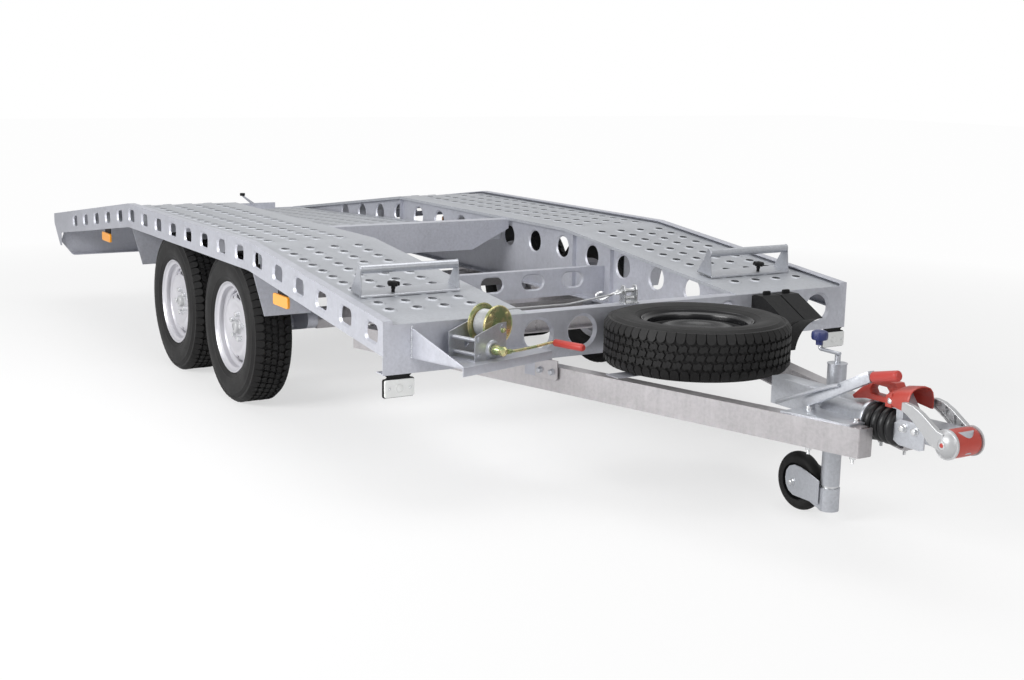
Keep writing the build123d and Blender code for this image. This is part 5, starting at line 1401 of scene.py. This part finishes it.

# Drums behind the wheel windows are darker than the axle tubes: dark cast iron, darkened further into painted
# shade for the shadowed inside of the wheels
drum_cast_and_shade = plain_material("dark drum casting", (0.035, 0.034, 0.033), 0.7, 0.2, 500.0, 0.2, 0.3, 0.0006)
for name in ("axle_front", "axle_rear"):
    axle = reworked(name, f"painted_{name}", bar_zinc)
    axle.data.materials.append(drum_cast_and_shade)
    for face in axle.data.polygons:
        face.material_index = 1 if abs(face.center.y) > 0.8 else 0

# Weld beads beside the winch gusset and where the right drawbar meets the front beam


def bead_row(name, start, end, count, size):
    bead = add(bpy.ops.mesh.primitive_ico_sphere_add, name, subdivisions=1, radius=size)
    bead.scale = (0.8, 1.0, 0.9)
    freeze(bead)
    start, end = Vector(start), Vector(end)
    spots = []
    for step in range(count):
        wobble = 0.0006 * sin(step * 2.3)
        spot = start.lerp(end, step / (count - 1)) + Vector((wobble, wobble, 0))
        spots.append(Matrix.Translation(spot) @ Matrix.Rotation(step * 0.7, 4, "Z"))
    row = copies(bead, spots, name)
    bpy.ops.object.shade_smooth_by_angle(angle=radians(80))
    return row


welds = [
    bead_row("weld", (FRONT + 0.001, -0.9425, 0.476), (FRONT + 0.001, -0.9425, 0.582), 18, 0.0058),
    bead_row("weld", (FRONT - 0.0005, -0.47, 0.423), (FRONT - 0.0005, -0.56, 0.423), 18, 0.0035),
]
galvanised(joined("weld_beads", welds), bracket_zinc)

# Rope guide on the front beam, in place of the plain block: two cheeks, two rollers, a shackle and a hook
GUIDE = Vector((FRONT - 0.03, -0.021, 0.593))
beam = reworked("front_beam", "drilled_front_beam", rail_zinc)


def in_guide(spot, lift):
    """Whether a spot is in the plain block, above a height over the beam's top."""
    return abs(spot.x - GUIDE.x) < 0.02 and abs(spot.y - GUIDE.y) < 0.029 and spot.z > GUIDE.z + lift


pick(beam, "VERT", lambda vertex: in_guide(vertex.co, 0.002))
bpy.ops.mesh.delete(type="VERT")
close_edit()
pick(beam, "EDGE", lambda edge: all(in_guide(beam.data.vertices[i].co, -0.001) for i in edge.vertices))
bpy.ops.mesh.edge_face_add()
close_edit()
cheek_line = [(-0.018, 0), (0.018, 0), (0.018, 0.052), (0.01, 0.068), (-0.01, 0.068), (-0.018, 0.052)]
guide_pieces = []
for y in (-0.047, 0.005):
    guide_pieces.append(place(plate("guide", cheek_line, 0.005, 0.0008), upright(GUIDE.x, y, GUIDE.z)))
sole = plate("sole", rounded(0.044, 0.066, 0.004), 0.005, 0.0008)
guide_pieces.append(place(sole, Matrix.Translation(GUIDE)))
roller_line = [
    (0, -0.027), (0.0045, -0.027), (0.0045, -0.021), (0.0105, -0.019), (0.0085, -0.008), (0.0085, 0.008),
    (0.0105, 0.019), (0.0045, 0.021), (0.0045, 0.029), (0, 0.029)
]
for height in (0.02, 0.048):
    spot = Matrix.Translation(GUIDE + Vector((0, -0.0025, height))) @ Matrix.Rotation(-pi / 2, 4, "X")
    guide_pieces.append(place(turned("roller", roller_line, 24), spot))
galvanised(joined("rope_guide", guide_pieces), bolt_zinc)
bow = [
    (0.0, -0.012), (0.014, -0.013), (0.024, -0.01), (0.029, 0.0), (0.024, 0.01), (0.014, 0.013), (0.0, 0.012)
]
HITCH = Vector((FRONT - 0.03, -0.062, 0.638))
shackle = rod(
    "shackle", [HITCH + Vector((across, -ahead, -0.25 * ahead)) for ahead, across in bow], 0.0038, 12
)
pin_line = [
    (0, -0.019), (0.0068, -0.019), (0.0068, -0.0145), (0.004, -0.014), (0.004, 0.0145), (0.0062, 0.015),
    (0.0062, 0.019), (0, 0.019)
]
pin = place(turned("pin", pin_line, 16), Matrix.Translation(HITCH) @ Matrix.Rotation(pi / 2, 4, "Y"))
hook_route = [
    (-0.028, 0.0), (-0.046, -0.004), (-0.066, -0.016), (-0.088, -0.014), (-0.098, 0.002), (-0.088, 0.014),
    (-0.074, 0.012)
]
hook_points = []
for ahead, across in hook_route:
    reach = ahead + 0.028
    hook_points.append(HITCH + Vector((0.25 * reach, ahead, across - 0.004 + 0.14 * reach)))
hook = rod("hook", hook_points, 0.0052, 14)
galvanised(joined("hook_and_shackle", [shackle, pin, hook]), bolt_zinc)

# Chock tabs
tab_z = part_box("wheel_chocks")[1].z + 0.004
tabs = []
for y in (0.592, 0.69):
    tab = plate("tab", rounded(0.034, 0.022, 0.005), 0.01, 0.0012)
    tabs.append(place(tab, Matrix.Translation((FRONT + 0.03, y, tab_z)) @ facing))
wear(joined("chock_tabs", tabs), "chassis", black_plastic)

# Winch rope

ROPE_START = Vector((1.52942, -0.68037, 0.63049))
ROPE_BEND = Vector((1.443, -0.302, 0.612))
ROPE_END = Vector((1.425, -0.0476, 0.6374))
BEND_REACH = 0.036
before = ROPE_BEND + (ROPE_START - ROPE_BEND).normalized() * BEND_REACH
after = ROPE_BEND + (ROPE_END - ROPE_BEND).normalized() * BEND_REACH
rope = curve("rope_line", [ROPE_START, before, ROPE_BEND, after, ROPE_END], 0.003, 3, 16)
wear(rope, "chassis", rope_steel, ["winch_rope"])

# Camera, light and floor

FLOOR_GLOW = 0.62

CAMERA = Vector((FRONT + 4.213, -3.096, 1.455))
camera_data = bpy.data.cameras.new("view")
camera_data.lens = 49.95
camera_data.sensor_width = 36
camera = linked(bpy.data.objects.new("view", camera_data))
yaw, pitch, roll = radians(148.808), radians(-10.941), radians(0.973)
looking = Vector((cos(yaw) * cos(pitch), sin(yaw) * cos(pitch), sin(pitch)))
right = Vector((sin(yaw), -cos(yaw), 0))
above = right.cross(looking)
right_rolled = right * cos(roll) + above * sin(roll)
above_rolled = above * cos(roll) - right * sin(roll)
turn = Matrix((right_rolled, above_rolled, -looking)).transposed()
camera.matrix_world = Matrix.Translation(CAMERA) @ turn.to_4x4()
bpy.context.scene.camera = camera


def lamp(name, size, energy, spot, target):
    data = bpy.data.lights.new(name, "AREA")
    data.shape = "RECTANGLE"
    data.size, data.size_y = size
    data.energy = energy
    piece = linked(bpy.data.objects.new(name, data))
    piece.matrix_world = turn_to(Vector(spot) - Vector(target), spot)


lamp("key softbox", (4, 2.5), 400, (1.0, -6.5, 3.2), (0, 0, 0.4))
lamp("front softbox", (3, 2.5), 105, (7.0, -0.5, 3.0), (1, 0, 0.4))
lamp("top softbox", (7, 4), 188, (-0.5, 0.5, 6.0), (0, 0, 0))

world = bpy.data.worlds.new("studio")
world.use_nodes = True
bpy.context.scene.world = world
tree = world.node_tree
background = tree.nodes["Background"]
background.inputs["Color"].default_value = (1, 1, 1, 1)
path = tree.nodes.new("ShaderNodeLightPath")
seen = math_node(tree, "MAXIMUM", path.outputs["Is Camera Ray"], path.outputs["Is Transmission Ray"])
seen = math_node(tree, "MAXIMUM", seen, math_node(tree, "MULTIPLY", path.outputs["Is Glossy Ray"], 0.65))
link(tree, math_node(tree, "MAXIMUM", seen, 0.22), background.inputs["Strength"])

floor = add(bpy.ops.mesh.primitive_plane_add, "floor", size=60)
floor_material, tree, shader = new_material("pale floor")
give(shader, Base_Color=(0.9, 0.9, 0.9, 1), Roughness=0.9, Specular_IOR_Level=0.1)
glow = tree.nodes.new("ShaderNodeEmission")
glow.inputs["Color"].default_value = (0.985, 0.985, 0.985, 1)
path = tree.nodes.new("ShaderNodeLightPath")
spot = object_place(tree)
reach = tree.nodes.new("ShaderNodeVectorMath")
reach.operation = "LENGTH"
link(tree, spot, reach.inputs[0])
fade = remap(tree, reach.outputs["Value"], 1.5, 6.0, FLOOR_GLOW, 1.0)
seen = math_node(tree, "MULTIPLY", path.outputs["Is Camera Ray"], fade, True)
blend = tree.nodes.new("ShaderNodeMixShader")
link(tree, seen, blend.inputs[0])
link(tree, shader.outputs[0], blend.inputs[1])
link(tree, glow.outputs[0], blend.inputs[2])
link(tree, blend.outputs[0], tree.nodes["Material Output"].inputs["Surface"])
floor.data.materials.append(floor_material)
bpy.context.scene.view_settings.view_transform = "Standard"
